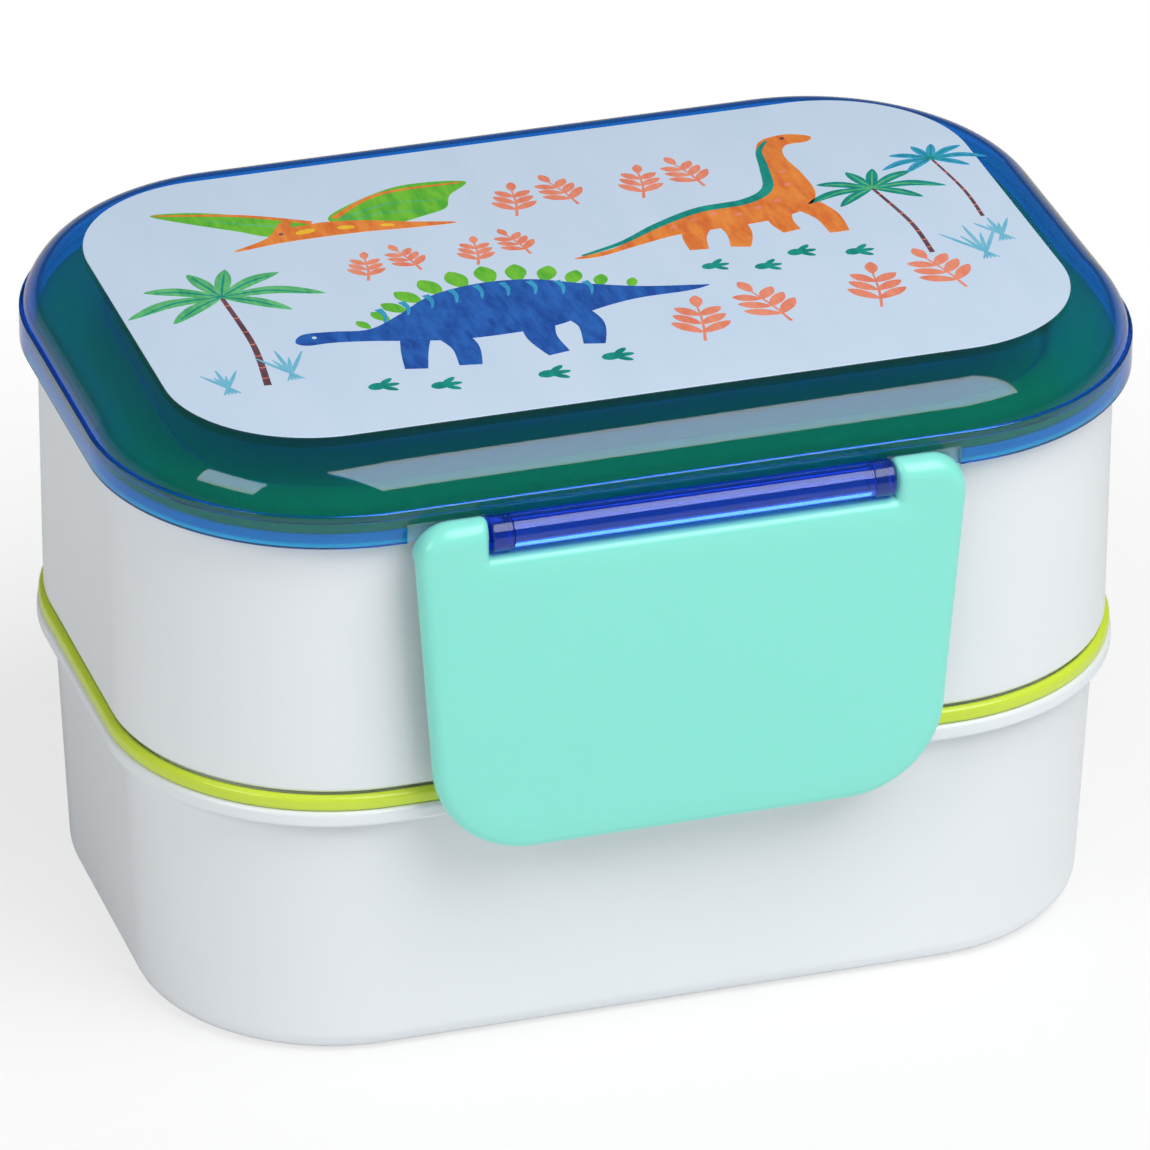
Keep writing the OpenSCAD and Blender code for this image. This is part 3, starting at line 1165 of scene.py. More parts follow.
    def build(self) -> list[bpy.types.Object]:
        """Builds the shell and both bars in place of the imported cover.

        Returns:
            The shell and the bars.
        """
        points, slots = self.profile()
        shell = self.plan.sweep(points, False, slots).build("cover_shell")
        for polygon in shell.data.polygons:
            polygon.flip()
        dress(shell, Palette.DOME, Palette.SKIRT)
        axis_y, axis_z = self.hinge_axis()
        places = [(along * self.pocket_x, side.value * axis_y) for along in (-1, 1) for side in Side]
        carve(shell, [Rod(x, y, axis_z, self.pocket_radius, self.pocket_length) for x, y in places], 35)
        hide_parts("cover")
        return [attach(shell, "cover"), *(self.bar(side) for side in Side)]


# ---------------------------------------------------------------------------------------------------- clips


@dataclass
class Clip:
    """A snap clip: a wide plate that hangs from two ears, with a wall round its edge and a hook behind.

    Attributes:
        side: The side of the box the clip is on.
        taper: How much narrower each side gets towards the bottom.
        bottom_round: Radius of the lower corners.
        top_round: Radius of the upper corners.
        notch_half: Half the width between the ears.
        out: Distance from the hinge axis to the outer face.
        plate: Thickness of the plate.
        edge_wall: Thickness of the wall round the edge.
        wall_foot: Width of the slope from that wall down to the plate.
        edge_round: Radius of the outer face's edge.
        wall_depth: How far that wall reaches behind the axis.
        notch_low: Depth of the notch below the axis.
        ear_back: How far an ear reaches behind the axis.
        ear_round: Radius of an ear's upper inner corner.
        inner_round: Radius of the back's edge.
        border_start: Width of the slightly lower border of the outer face.
        border_width: Width over which the face rises from the border.
        border_fall: How much lower the border is.
        bore: Radius of the bore for the pin.
        hook_half: Half the length of the hook.
        hook_thick: Thickness of the hook.
        hook_drop: Height of the lower tier's top over the hook.
        hook_gap: Distance from the lower tier's rim to the hook.
        rib_drop: How far the rib's middle lies below the axis.
        rib_thick: Thickness of the rib under the notch.
        root_depth: How far a rib reaches into the plate.
        pin_hole: Depth of the bore in an ear, and how far its middle lies outside the notch.
        ear_width: Least width of an ear.
        ear_rise: Least height of an ear's rows above the notch.
        side_steps: Columns in each ear.
        middle_steps: Columns across the notch.
        body_rows: Rows below the notch.
        ear_rows: Rows up the ears.
    """

    side: Side
    taper: float = 2.9
    bottom_round: float = 17.0
    top_round: float = 6.0
    notch_half: float = 34.9
    out: float = 3.1
    plate: float = 2.2
    edge_wall: float = 1.8
    wall_foot: float = 0.6
    edge_round: float = 1.9
    wall_depth: float = 0.5
    notch_low: float = 3.3
    ear_back: float = 2.95
    ear_round: float = 1.0
    inner_round: float = 0.5
    border_start: float = 1.5
    border_width: float = 3.0
    border_fall: float = 0.15
    bore: float = 1.48
    hook_half: float = 30.0
    hook_thick: float = 2.0
    hook_drop: float = 3.3
    hook_gap: float = 0.3
    rib_drop: float = 5.25
    rib_thick: float = 1.6
    root_depth: float = 0.3
    pin_hole: Point = (3.6, 1.5)
    ear_width: float = 6.0
    ear_rise: float = 0.3
    side_steps: int = 18
    middle_steps: int = 26
    body_rows: int = 60
    ear_rows: int = 22

    def frame_sizes(self) -> tuple[float, float, float, float, float]:
        """Reads the clip's half width, top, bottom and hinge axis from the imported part.

        Returns:
            Half the width, the highest and lowest heights, and the axis's place along Y and its height.
        """
        low, high = node_box(f"{self.side.name.lower()}_clip")
        axis_y = max(abs(low.y), abs(high.y)) - self.out
        axis_z = node_box("upper_tier")[1].z - HINGE_DROP
        return high.x, high.z, low.z, axis_y, axis_z

    def half_width(self, z: float) -> float:
        """Gives the clip's half width at a height, its upper corners left square.

        Args:
            z: The height.

        Returns:
            Half the width there.
        """
        half, top, bottom, _, _ = self.frame_sizes()
        share = (z - bottom - self.bottom_round) / (top - self.top_round - bottom - self.bottom_round)
        width = mix(half - self.taper, half, min(max(share, 0), 1))
        drop = max(self.bottom_round - (z - bottom), 0)
        return width - self.bottom_round + math.sqrt(max(self.bottom_round**2 - drop**2, 0))

    def ear_top(self, x: float) -> float:
        """Gives the height of an ear's top above the hinge axis, which falls off at both its sides.

        Args:
            x: Place along the clip.

        Returns:
            The height above the axis.
        """
        half, top, _, _, axis_z = self.frame_sizes()
        outer = max(abs(x) - (half - self.top_round), 0)
        inner = max(self.notch_half + self.ear_round - abs(x), 0)
        fall = self.top_round - math.sqrt(max(self.top_round**2 - outer**2, 0))
        fall += self.ear_round - math.sqrt(max(self.ear_round**2 - inner**2, 0))
        return top - axis_z - fall

    def side_gap(self, x: float, z: float) -> float:
        """Gives the distance from a place on the clip to its nearest edge, the ears' tops left out.

        Args:
            x: Place along the clip.
            z: Height of the place.

        Returns:
            The distance, 0 at an edge.
        """
        _, _, bottom, _, axis_z = self.frame_sizes()
        lip = axis_z - self.notch_low
        x = abs(x)
        centre_x = self.half_width(bottom + self.bottom_round) - self.bottom_round
        centre_z = bottom + self.bottom_round
        if z < centre_z and x > centre_x:
            outside = self.bottom_round - math.hypot(x - centre_x, z - centre_z)
        else:
            outside = min(self.half_width(z) - x, z - bottom)
        over, aside = lip - z, x - self.notch_half
        if over <= 0:
            notch = aside
        elif aside <= 0:
            notch = over
        else:
            notch = math.hypot(over, aside)
        return max(min(outside, notch), 0.0)

    def outer(self, x: float, z: float) -> float:
        """Gives the outer face's distance from the axis: flat, round-edged, rolled over on the ears.

        Args:
            x: Place along the clip.
            z: Height of the place.

        Returns:
            The distance, away from the box.
        """
        axis_z = self.frame_sizes()[4]
        gap = self.side_gap(x, z)
        radius = self.edge_round
        edge = radius - math.sqrt(max(radius**2 - (radius - min(gap, radius)) ** 2, 0))
        above = z - axis_z - (self.ear_top(x) - self.out)
        roll = self.out - math.sqrt(max(self.out**2 - above**2, 0)) if above > 0 else 0.0
        fade = self.border_fall * (1 - smooth_step((gap - self.border_start) / self.border_width))
        if abs(x) >= self.notch_half and z > axis_z - self.notch_low:
            return max(self.out - roll, 0) * (1 - (edge + fade) / self.out)
        return self.out - max(roll, edge) - fade

    def inner(self, x: float, z: float) -> float:
        """Gives the inner face's distance from the axis: a wall round the edge, a pocket, and round ears.

        Args:
            x: Place along the clip.
            z: Height of the place.

        Returns:
            The distance, away from the box.
        """
        axis_z = self.frame_sizes()[4]
        gap = self.side_gap(x, z)
        soft = self.inner_round
        edge = soft - math.sqrt(max(soft**2 - (soft - min(gap, soft)) ** 2, 0))
        if abs(x) >= self.notch_half and z > axis_z - self.notch_low:
            up = z - axis_z
            high = self.ear_top(x)
            over = max(up - (high - self.ear_top(self.notch_half + self.ear_round)), 0)
            full = self.ear_top(self.notch_half + self.ear_round)
            upper = self.ear_back * math.sqrt(max(1 - (over / full) ** 2, 0))
            lower = self.ear_back * math.sqrt(max(1 - (min(up, 0) / self.ear_back) ** 2, 0))
            least = self.wall_depth if up < -self.ear_back * 0.8 else 0.0
            return -max(min(upper, lower), least) * (1 - edge / self.ear_back)
        share = smooth_step((gap - self.edge_wall) / self.wall_foot)
        return mix(edge - self.wall_depth, self.out - self.plate, share)

    def rows(self) -> list[list[Point | None]]:
        """Lays out the places of the front view: rows from the bottom up, none in the notch.

        Returns:
            The rows, each place a distance along the clip and a height.
        """
        _, _, bottom, _, axis_z = self.frame_sizes()
        lip = axis_z - self.notch_low
        rows: list[list[Point | None]] = []
        for step in range(self.body_rows + 1):
            z = mix(bottom, lip, 0.5 - 0.5 * math.cos(math.pi * step / self.body_rows))
            half = self.half_width(z)
            inside = min(self.notch_half, half - self.ear_width)
            rows.append([(x, z) for x in self.columns(inside, half)])
        for step in range(1, self.ear_rows + 1):
            share = math.sin(math.pi / 2 * step / self.ear_rows)
            row: list[Point | None] = []
            for index, x in enumerate(self.columns(self.notch_half, self.half_width(lip))):
                in_notch = self.side_steps < index < self.side_steps + self.middle_steps
                top = axis_z + self.ear_top(x)
                row.append(None if in_notch else (x, mix(lip, max(top, lip + self.ear_rise), share)))
            rows.append(row)
        return rows

    def columns(self, inside: float, half: float) -> list[float]:
        """Gives the columns' places: close together at both sides and at the notch's edges.

        Args:
            inside: Half the width between the ears.
            half: Half the clip's width.

        Returns:
            The places along the clip.
        """
        side = [mix(inside, half, 0.5 - 0.5 * math.cos(math.pi * step / self.side_steps))
                for step in range(self.side_steps + 1)]
        middle = [mix(-inside, inside, 0.5 - 0.5 * math.cos(math.pi * step / self.middle_steps))
                  for step in range(self.middle_steps + 1)]
        return [-x for x in reversed(side)] + middle[1:-1] + side

    def place(self, x: float, z: float, out: float) -> Point3:
        """Turns a place on the clip into one in the part's frame."""
        return x, self.side.value * (self.frame_sizes()[3] + out), z

    def rib(self, half: float, outs: Point, heights: Point) -> list[list[Point3]]:
        """Gives the sections of a rib across the back, its free edge rounded.

        Args:
            half: Half the rib's length.
            outs: Nearest and furthest distance from the axis.
            heights: Lowest and highest heights.

        Returns:
            The sections, for a tube.
        """
        near, far = outs
        low, high = heights
        section = rounded([(near, low, 0.6), (far, low, 0.05), (far, high, 0.05), (near, high, 0.6)], True, 5)
        rows = [[self.place(x, up, out) for out, up in section] for x in (-half, 0.0, half)]
        return rows if self.side is Side.BACK else [row[::-1] for row in rows]

    def build(self) -> bpy.types.Object:
        """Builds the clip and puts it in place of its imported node.

        Returns:
            The clip, riding on its body.
        """
        _, _, _, axis_y, axis_z = self.frame_sizes()
        mesh = Mesh()
        rows = self.rows()
        front = [[p and self.place(*p, self.outer(*p)) for p in row] for row in rows]
        back = [[p and self.place(*p, min(self.inner(*p), self.outer(*p) - 0.02)) for p in row]
                for row in rows]
        mesh.sheet(front, back, self.side is Side.BACK)
        far = self.out - self.plate + self.root_depth
        rib = axis_z - self.rib_drop
        heights = (rib - self.rib_thick / 2, rib + self.rib_thick / 2)
        mesh.tube(self.rib(self.notch_half - 0.1, (-self.wall_depth, far), heights))
        tier = node_box("lower_tier")[1]
        hook = tier.z - self.hook_drop
        near = tier.y + self.hook_gap - axis_y
        mesh.tube(self.rib(self.hook_half, (near, far), (hook - self.hook_thick, hook)))
        name = f"{self.side.name.lower()}_clip"
        piece = dress(mesh.build(name + "_plate", 40), Palette.CLIP)
        depth, aside = self.pin_hole
        middle, across = self.notch_half + aside, self.side.value * axis_y
        piece = carve(piece, [Rod(sign * middle, across, axis_z, self.bore, depth) for sign in (-1, 1)])
        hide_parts(name)
        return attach(piece, name)


# ---------------------------------------------------------------------------------------------------- label


@dataclass
class Label:
    """The printed panel on the cover: a thin film with round corners, and the inks printed on it.

    Attributes:
        corner: Radius of the panel's corners.
        sunk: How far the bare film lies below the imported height, to leave room for the ink.
        ink: Thickness of one layer of ink.
    """

    corner: float = 24.6
    sunk: float = 0.14
    ink: float = 0.02

    def build(self) -> list[bpy.types.Object]:
        """Builds the panel and everything printed on it.

        Returns:
            The panel and the prints.
        """
        low, high = node_box("label")
        face = high.z - self.sunk
        half_x, half_y = high.x - self.corner, high.y - self.corner
        plan = Plan(half_x, half_y, 24, 10, 6)
        profile = rounded([(self.corner / 2, low.z, 0), (self.corner, low.z, 0.04), (self.corner, face, 0.1),
                           (self.corner / 2, face, 0)], steps=5)
        panel = dress(plan.sweep(profile, False).build("label_panel"), Palette.PANEL)
        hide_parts("label")
        return [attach(panel, "cover"), *Print(face, self.ink).build()]


class Pen:
    """Draws filled shapes of the print, as outlines in the panel's plane."""

    @staticmethod
    def blob(points: Sequence[Point]) -> list[Point]:
        """Gives a smooth closed shape through points."""
        return smooth_curve(points, True)

    @staticmethod
    def stroke(points: Sequence[Point], start: float, end: float, bulge: float = 0.0) -> list[Point]:
        """Gives a smooth brush stroke.

        Args:
            points: Points the stroke's middle passes through.
            start: Its width at the start.
            end: Its width at the end.
            bulge: Extra width half way.

        Returns:
            The stroke's outline.
        """
        line = smooth_curve(points, False)
        left, right = [], []
        for index, here in enumerate(line):
            before, after = line[max(index - 1, 0)], line[min(index + 1, len(line) - 1)]
            along = Vector((after[0] - before[0], after[1] - before[1])).normalized()
            share = index / (len(line) - 1)
            half = (mix(start, end, share) + bulge * math.sin(math.pi * share)) / 2
            left.append((here[0] - along.y * half, here[1] + along.x * half))
            right.append((here[0] + along.y * half, here[1] - along.x * half))
        return left + right[::-1]

    @staticmethod
    def leaf(base: Point, angle: float, length: float, width: float, droop: float) -> list[Point]:
        """Gives a pointed leaf that sets off at an angle in degrees and droops by a share of its length.

        Args:
            base: Where the leaf starts.
            angle: Angle it sets off at, in degrees.
            length: Its length.
            width: Its width half way.
            droop: How far its tip drops, as a share of its length.

        Returns:
            The leaf's outline.
        """
        turn = math.radians(angle)
        sag = -droop * length
        middle = (base[0] + 0.55 * length * math.cos(turn),
                  base[1] + 0.55 * length * math.sin(turn) + sag * 0.2)
        tip = (base[0] + length * math.cos(turn), base[1] + length * math.sin(turn) + sag)
        return Pen.stroke([base, middle, tip], 0.25, 0.12, width)

    @staticmethod
    def disc(centre: Point, across: float, up: float, turn: float = 0.0) -> list[Point]:
        """Gives an ellipse, turned by an angle in degrees.

        Args:
            centre: Its centre.
            across: Half its width before it is turned.
            up: Half its height before it is turned.
            turn: Angle in degrees.

        Returns:
            The ellipse's outline.
        """
        spin = math.radians(turn)
        shape = []
        for step in range(28):
            a = 2 * math.pi * step / 28
            x, y = across * math.cos(a), up * math.sin(a)
            shape.append((centre[0] + x * math.cos(spin) - y * math.sin(spin),
                          centre[1] + x * math.sin(spin) + y * math.cos(spin)))
        return shape


@dataclass
class Print:
    """The print: three plain beasts of our own drawing, palms, tracks, tufts and sprigs, in brushed inks.

    Attributes:
        top: Height of the panel's face.
        ink: Thickness of one layer of ink.
        ink_root: How far the ink reaches into the panel.
        stagger: Share of a layer between one shape's height and the next one's, so that none coincide.
        track_scale: Size of the tracks.
    """

    top: float
    ink: float
    ink_root: float = 0.02
    stagger: float = 0.1
    track_scale: float = 1.2

    def lay(self, name: str, finish: Palette, shapes: Sequence[Sequence[Point]],
            layer: int) -> bpy.types.Object:
        """Lays filled shapes on the panel as one thin film of ink.

        Args:
            name: Name of the piece.
            finish: Ink it is printed in.
            shapes: Outlines of the shapes.
            layer: Which layer of ink it is, from 1.

        Returns:
            The piece, riding on the cover.
        """
        mesh = Mesh()
        for number, shape in enumerate(shapes):
            area = sum(a[0] * b[1] - b[0] * a[1] for a, b in zip(shape, list(shape[1:]) + [shape[0]]))
            loop = list(shape) if area > 0 else list(shape)[::-1]
            height = self.top + self.ink * (layer + self.stagger * (number % 5))
            count = len(loop)
            upper = [(x, y, height) for x, y in loop]
            lower = [(x, y, self.top - self.ink_root) for x, y in loop]
            triangles = [list(t) for t in tessellate_polygon([[Vector(p) for p in upper]])]
            faces = []
            for a, b, c in triangles:
                pa, pb, pc = loop[a], loop[b], loop[c]
                turn = (pb[0] - pa[0]) * (pc[1] - pa[1]) - (pb[1] - pa[1]) * (pc[0] - pa[0])
                face = [a, b, c] if turn > 0 else [c, b, a]
                faces += [face, [count + n for n in reversed(face)]]
            faces += [[(i + 1) % count, i, count + i, count + (i + 1) % count] for i in range(count)]
            mesh.add(upper + lower, faces)
        piece = dress(mesh.build(name, 30), finish)
        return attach(piece, "cover")

    def palm(self, name: str, base: Point, crown: Point, size: float, inks: tuple[Palette, Palette]) -> list:
        """Prints a palm: a ringed trunk and a crown of drooping leaves.

        Args:
            name: Name for its pieces.
            base: Foot of the trunk.
            crown: Top of the trunk.
            size: Length of the longest leaves.
            inks: Inks of the leaves and of their ribs.

        Returns:
            The pieces.
        """
        lean = (crown[0] - base[0]) * 0.35 + size * 0.07
        bend = (base[0] + lean, mix(base[1], crown[1], 0.45))
        trunk = Pen.stroke([base, bend, crown], size * 0.075, size * 0.045)
        rings = []
        line = smooth_curve([base, bend, crown], False)
        for index in range(2, len(line) - 1, 2):
            x, y = line[index]
            rings.append(Pen.stroke([(x - size * 0.03, y + 0.15), (x, y - 0.1), (x + size * 0.03, y + 0.15)],
                                    0.22, 0.22))
        leaves, ribs = [], []
        spread = ((8, 1.0, 0.34), (38, 0.86, 0.2), (72, 0.62, 0.05), (108, 0.62, 0.05), (146, 0.84, 0.2),
                  (174, 1.0, 0.32), (-28, 0.66, 0.2), (206, 0.66, 0.2))
        for angle, share, droop in spread:
            length = size * share
            leaves.append(Pen.leaf(crown, angle, length, size * 0.15, droop))
            ribs.append(Pen.leaf(crown, angle, length * 0.86, size * 0.012, droop * 0.98))
        return [self.lay(name + "_trunk", Palette.BARK, [trunk], 1),
                self.lay(name + "_rings", Palette.CORAL, rings, 2),
                self.lay(name + "_leaves", inks[0], leaves, 3),
                self.lay(name + "_ribs", inks[1], ribs, 5)]

    def plated_beast(self) -> list:
        """Prints the low blue beast with a row of leaf-like plates.

        Returns:
            Its pieces.
        """
        body = Pen.blob([(-53, -14.5), (-51, -12.2), (-46, -12.6), (-40, -13.5), (-34, -10), (-27, -4.8),
                         (-18, -2.6), (-9, -3.6), (-1, -7.6), (8, -11.4), (17, -13.6), (19, -14.2),
                         (15, -15.2), (6, -15.4), (-2, -17.4), (-9, -20.8), (-18, -21.6), (-27, -21.2),
                         (-34, -19.6), (-41, -17.6), (-47, -16.4), (-51.5, -16.2)])
        legs = [Pen.stroke([(-33, -17), (-35, -23), (-36.6, -29.4)], 5.4, 3.8),
                Pen.stroke([(-28, -18), (-26.6, -24), (-27.6, -30.6)], 5.4, 3.8),
                Pen.stroke([(-12, -17), (-13.4, -24), (-12.4, -30.8)], 6.4, 3.8),
                Pen.stroke([(-6, -16), (-4.2, -22), (-5.8, -29.2)], 5.6, 3.6)]
        crest = smooth_curve([(-41, -13.2), (-34, -9.8), (-27, -4.8), (-18, -2.6), (-9, -3.6), (-1, -7.6),
                              (8, -11.2)], False, 4)
        plates = []
        for index in range(1, len(crest) - 1, 2):
            x, y = crest[index]
            before, after = crest[index - 1], crest[index + 1]
            slope = math.degrees(math.atan2(after[1] - before[1], after[0] - before[0]))
            height = 2.2 + 3.6 * math.sin(math.pi * index / (len(crest) - 1))
            plates.append(Pen.leaf((x, y - 0.6), slope + 90, height + 0.8, height * 0.62, 0.0))
        stripes = []
        for index in range(9):
            x = -37 + 4.5 * index
            top = -7.5 + 4.6 * math.sin(math.pi * (index + 0.5) / 9)
            line = [(x + 0.5, top - 0.2), (x + 0.9, top - 2.6), (x + 0.2, top - 5.2)]
            stripes.append(Pen.stroke(line, 1.3, 0.3))
        eye = [Pen.disc((-49.6, -13.9), 0.42, 0.42)]
        return [self.lay("plated_beast_legs", Palette.BLUE, legs, 1),
                self.lay("plated_beast_plates", Palette.GRASS_GREEN, plates, 2),
                self.lay("plated_beast_body", Palette.BLUE, [body], 3),
                self.lay("plated_beast_stripes", Palette.SKY, stripes, 4),
                self.lay("plated_beast_eye", Palette.PANEL, eye, 5)]

    def long_beast(self) -> list:
        """Prints the orange beast with a long raised neck.

        Returns:
            Its pieces.
        """
        body = Pen.blob([(0.5, 1.6), (8, 3.4), (15, 7.4), (21, 11.6), (28, 14.2), (35, 14.4), (39.6, 17.6),
                         (41.6, 24), (42.4, 31), (44.6, 35.4), (49.4, 36.6), (53.2, 34.8), (52.2, 33),
                         (48.2, 32.6), (46.6, 28.6), (47.4, 21), (47.2, 13.6), (44, 8.6), (37, 6),
                         (28, 5.4), (20, 5.2), (12, 3.2), (5, 1.2)])
        legs = [Pen.stroke([(25, 9), (22.4, 4), (21.6, -1.2)], 5.2, 3.2),
                Pen.stroke([(29.6, 9), (30, 3), (28.6, -2.2)], 5.4, 3.4),
                Pen.stroke([(39, 10), (38.2, 5), (38.8, 1)], 5.0, 3.2),
                Pen.stroke([(43.6, 11), (46.2, 5), (46.4, -1.6)], 5.4, 3.4)]
        back = [Pen.stroke([(2, 2.2), (10, 5), (17.5, 9.4), (26, 13), (34.6, 13.8), (39.8, 17.4), (41.8, 25),
                            (43, 31.4), (45.4, 35)], 0.5, 0.5, 1.5)]
        spots = [Pen.disc((x, y), 0.75, 0.5, 25) for x, y in
                 ((24, 9.6), (28, 11), (32, 9.4), (36, 11), (40, 12.6), (43.6, 18), (44.4, 23), (20, 8))]
        eye = [Pen.disc((48.4, 35.2), 0.4, 0.4)]
        return [self.lay("long_beast_legs", Palette.ORANGE, legs, 1),
                self.lay("long_beast_body", Palette.ORANGE, [body], 3),
                self.lay("long_beast_back", Palette.TEAL, back, 4),
                self.lay("long_beast_spots", Palette.CORAL, spots, 4),
                self.lay("long_beast_eye", Palette.BARK, eye, 5)]

    def winged_beast(self) -> list:
        """Prints the gliding beast with broad green wings.

        Returns:
            Its pieces.
        """
        near = Pen.blob([(-38, 27), (-47, 32.6), (-56, 36.8), (-63.5, 37.8), (-58, 33), (-51, 28),
                         (-46.6, 24.6), (-41, 23.6)])
        far = Pen.blob([(-35, 28), (-28, 33.4), (-19, 36.8), (-8.6, 35.2), (-12.6, 30.8), (-14.6, 26.4),
                        (-19, 24.6), (-24, 23.2), (-30, 23)])
        body = Pen.blob([(-53.5, 20.6), (-47, 23.8), (-43.4, 28.6), (-41, 29.4), (-41.6, 26.8), (-36, 27),
                         (-29, 25.6), (-22, 23), (-14.5, 20.6), (-22, 20.8), (-30, 21.6), (-38, 21.8),
                         (-45, 21.6)])
        bones = [Pen.stroke([(-38, 27.4), (-49, 33.4), (-63, 37.6)], 1.2, 0.4),
                 Pen.stroke([(-34, 28), (-24, 34.6), (-9.4, 35)], 1.2, 0.4)]
        folds = [Pen.stroke([(-33, 27.2), (-24, 30.6), (-14.6, 29.6)], 0.6, 0.2),
                 Pen.stroke([(-40, 26.2), (-48, 29.6), (-55.6, 33.6)], 0.6, 0.2),
                 Pen.stroke([(-32, 26), (-25, 27.6), (-18, 26)], 0.5, 0.2)]
        patches = [Pen.disc((-40, 24.4), 1.8, 0.8, 10), Pen.disc((-33, 24), 1.5, 0.7, -8),
                   Pen.disc((-26, 22.9), 1.2, 0.5, -12)]
        eye = [Pen.disc((-44.2, 24.6), 0.4, 0.4)]
        return [self.lay("winged_beast_wings", Palette.GRASS_GREEN, [near, far], 1),
                self.lay("winged_beast_folds", Palette.LEAF, folds, 2),
                self.lay("winged_beast_bones", Palette.ORANGE, bones, 3),
                self.lay("winged_beast_body", Palette.ORANGE, [body], 4),
                self.lay("winged_beast_patches", Palette.YELLOW, patches, 5),
                self.lay("winged_beast_eye", Palette.BARK, eye, 6)]

    def tracks(self) -> bpy.types.Object:
        """Prints the three-toed tracks below the beasts.

        Returns:
            The piece.
        """
        steps = ((-44.6, -33.6, 1.0), (-34.6, -36.2, 1.0), (-16.5, -37.4, 1.05), (-4.6, -34.4, 1.05),
                 (21.3, -7.6, 0.9), (29.8, -10.2, 0.9), (36.8, -6.8, 0.95), (46.2, -9.4, 0.95))
        shapes = []
        for x, y, size in steps:
            size *= self.track_scale
            shapes.append(Pen.disc((x, y), 1.3 * size, 1.0 * size, 10))
            for turn in (-38, 0, 38):
                angle = math.radians(turn)
                toe = (x + 1.9 * size * math.cos(angle), y + 1.7 * size * math.sin(angle))
                shapes.append(Pen.disc(toe, 1.25 * size, 0.5 * size, turn))
        return self.lay("tracks", Palette.TEAL, shapes, 1)

    def tufts(self) -> bpy.types.Object:
        """Prints the tufts of grass.

        Returns:
            The piece.
        """
        shapes = []
        for x, y, size in ((-68, -29.4, 9.0), (-56.6, -27.4, 11.0), (67.6, -18.4, 13.0), (72.4, -12.8, 9.0)):
            for index, angle in enumerate((62, 78, 93, 108, 122)):
                start = (x + 0.7 * (index - 2), y)
                shapes.append(Pen.leaf(start, angle, size * (0.75 + 0.25 * ((index + 1) % 2)), 0.55, 0.0))
        return self.lay("tufts", Palette.PALE, shapes, 1)

    def sprigs(self) -> list:
        """Prints rows of coral sprigs in the open parts of the panel.

        Returns:
            The stems and the leaves.
        """
        rows = (((-4, 20.5), (30, 21), 4, 9.6), ((-35, 4.4), (-6, 5), 4, 8.0),
                ((12, -33), (60, -28), 4, 12.4))
        stems, leaves = [], []
        for start, end, count, size in rows:
            for index in range(count):
                share = index / (count - 1)
                x = mix(start[0], end[0], share)
                y = mix(start[1], end[1], share) + (0.6 if index % 2 else -0.6)
                tilt = 90 + (14 if index % 2 else -12)
                turn = math.radians(tilt)
                tip = (x + size * math.cos(turn), y + size * math.sin(turn))
                stems.append(Pen.stroke([(x, y), ((x + tip[0]) / 2 + 0.3, (y + tip[1]) / 2), tip], 0.55, 0.3))
                for step in (0.25, 0.5, 0.75):
                    joint = (mix(x, tip[0], step), mix(y, tip[1], step))
                    length = size * (0.56 - 0.22 * step)
                    for sway in (-52, 52):
                        leaves.append(Pen.leaf(joint, tilt + sway, length, size * 0.17, 0.0))
                leaves.append(Pen.leaf(tip, tilt, size * 0.34, size * 0.16, 0.0))
        return [self.lay("sprig_stems", Palette.CORAL, stems, 1),
                self.lay("sprig_leaves", Palette.CORAL, leaves, 2)]

    def build(self) -> list[bpy.types.Object]:
        """Prints everything.

        Returns:
            All the pieces of the print.
        """
        pieces = self.plated_beast() + self.long_beast() + self.winged_beast()
        pieces += self.palm("near_palm", (-61.6, -28), (-60.2, 5), 17.2, (Palette.LEAF, Palette.TEAL))
        pieces += self.palm("far_palm", (58.8, -13.5), (57.0, 12.5), 12.5, (Palette.TEAL, Palette.LEAF))
        pieces += self.palm("small_palm", (71.5, -3.0), (70.4, 20.5), 9.5, (Palette.SKY, Palette.TEAL))
        pieces += [self.tracks(), self.tufts(), *self.sprigs()]
        return pieces


# --------------------------------------------------------------------------------------------------- studio


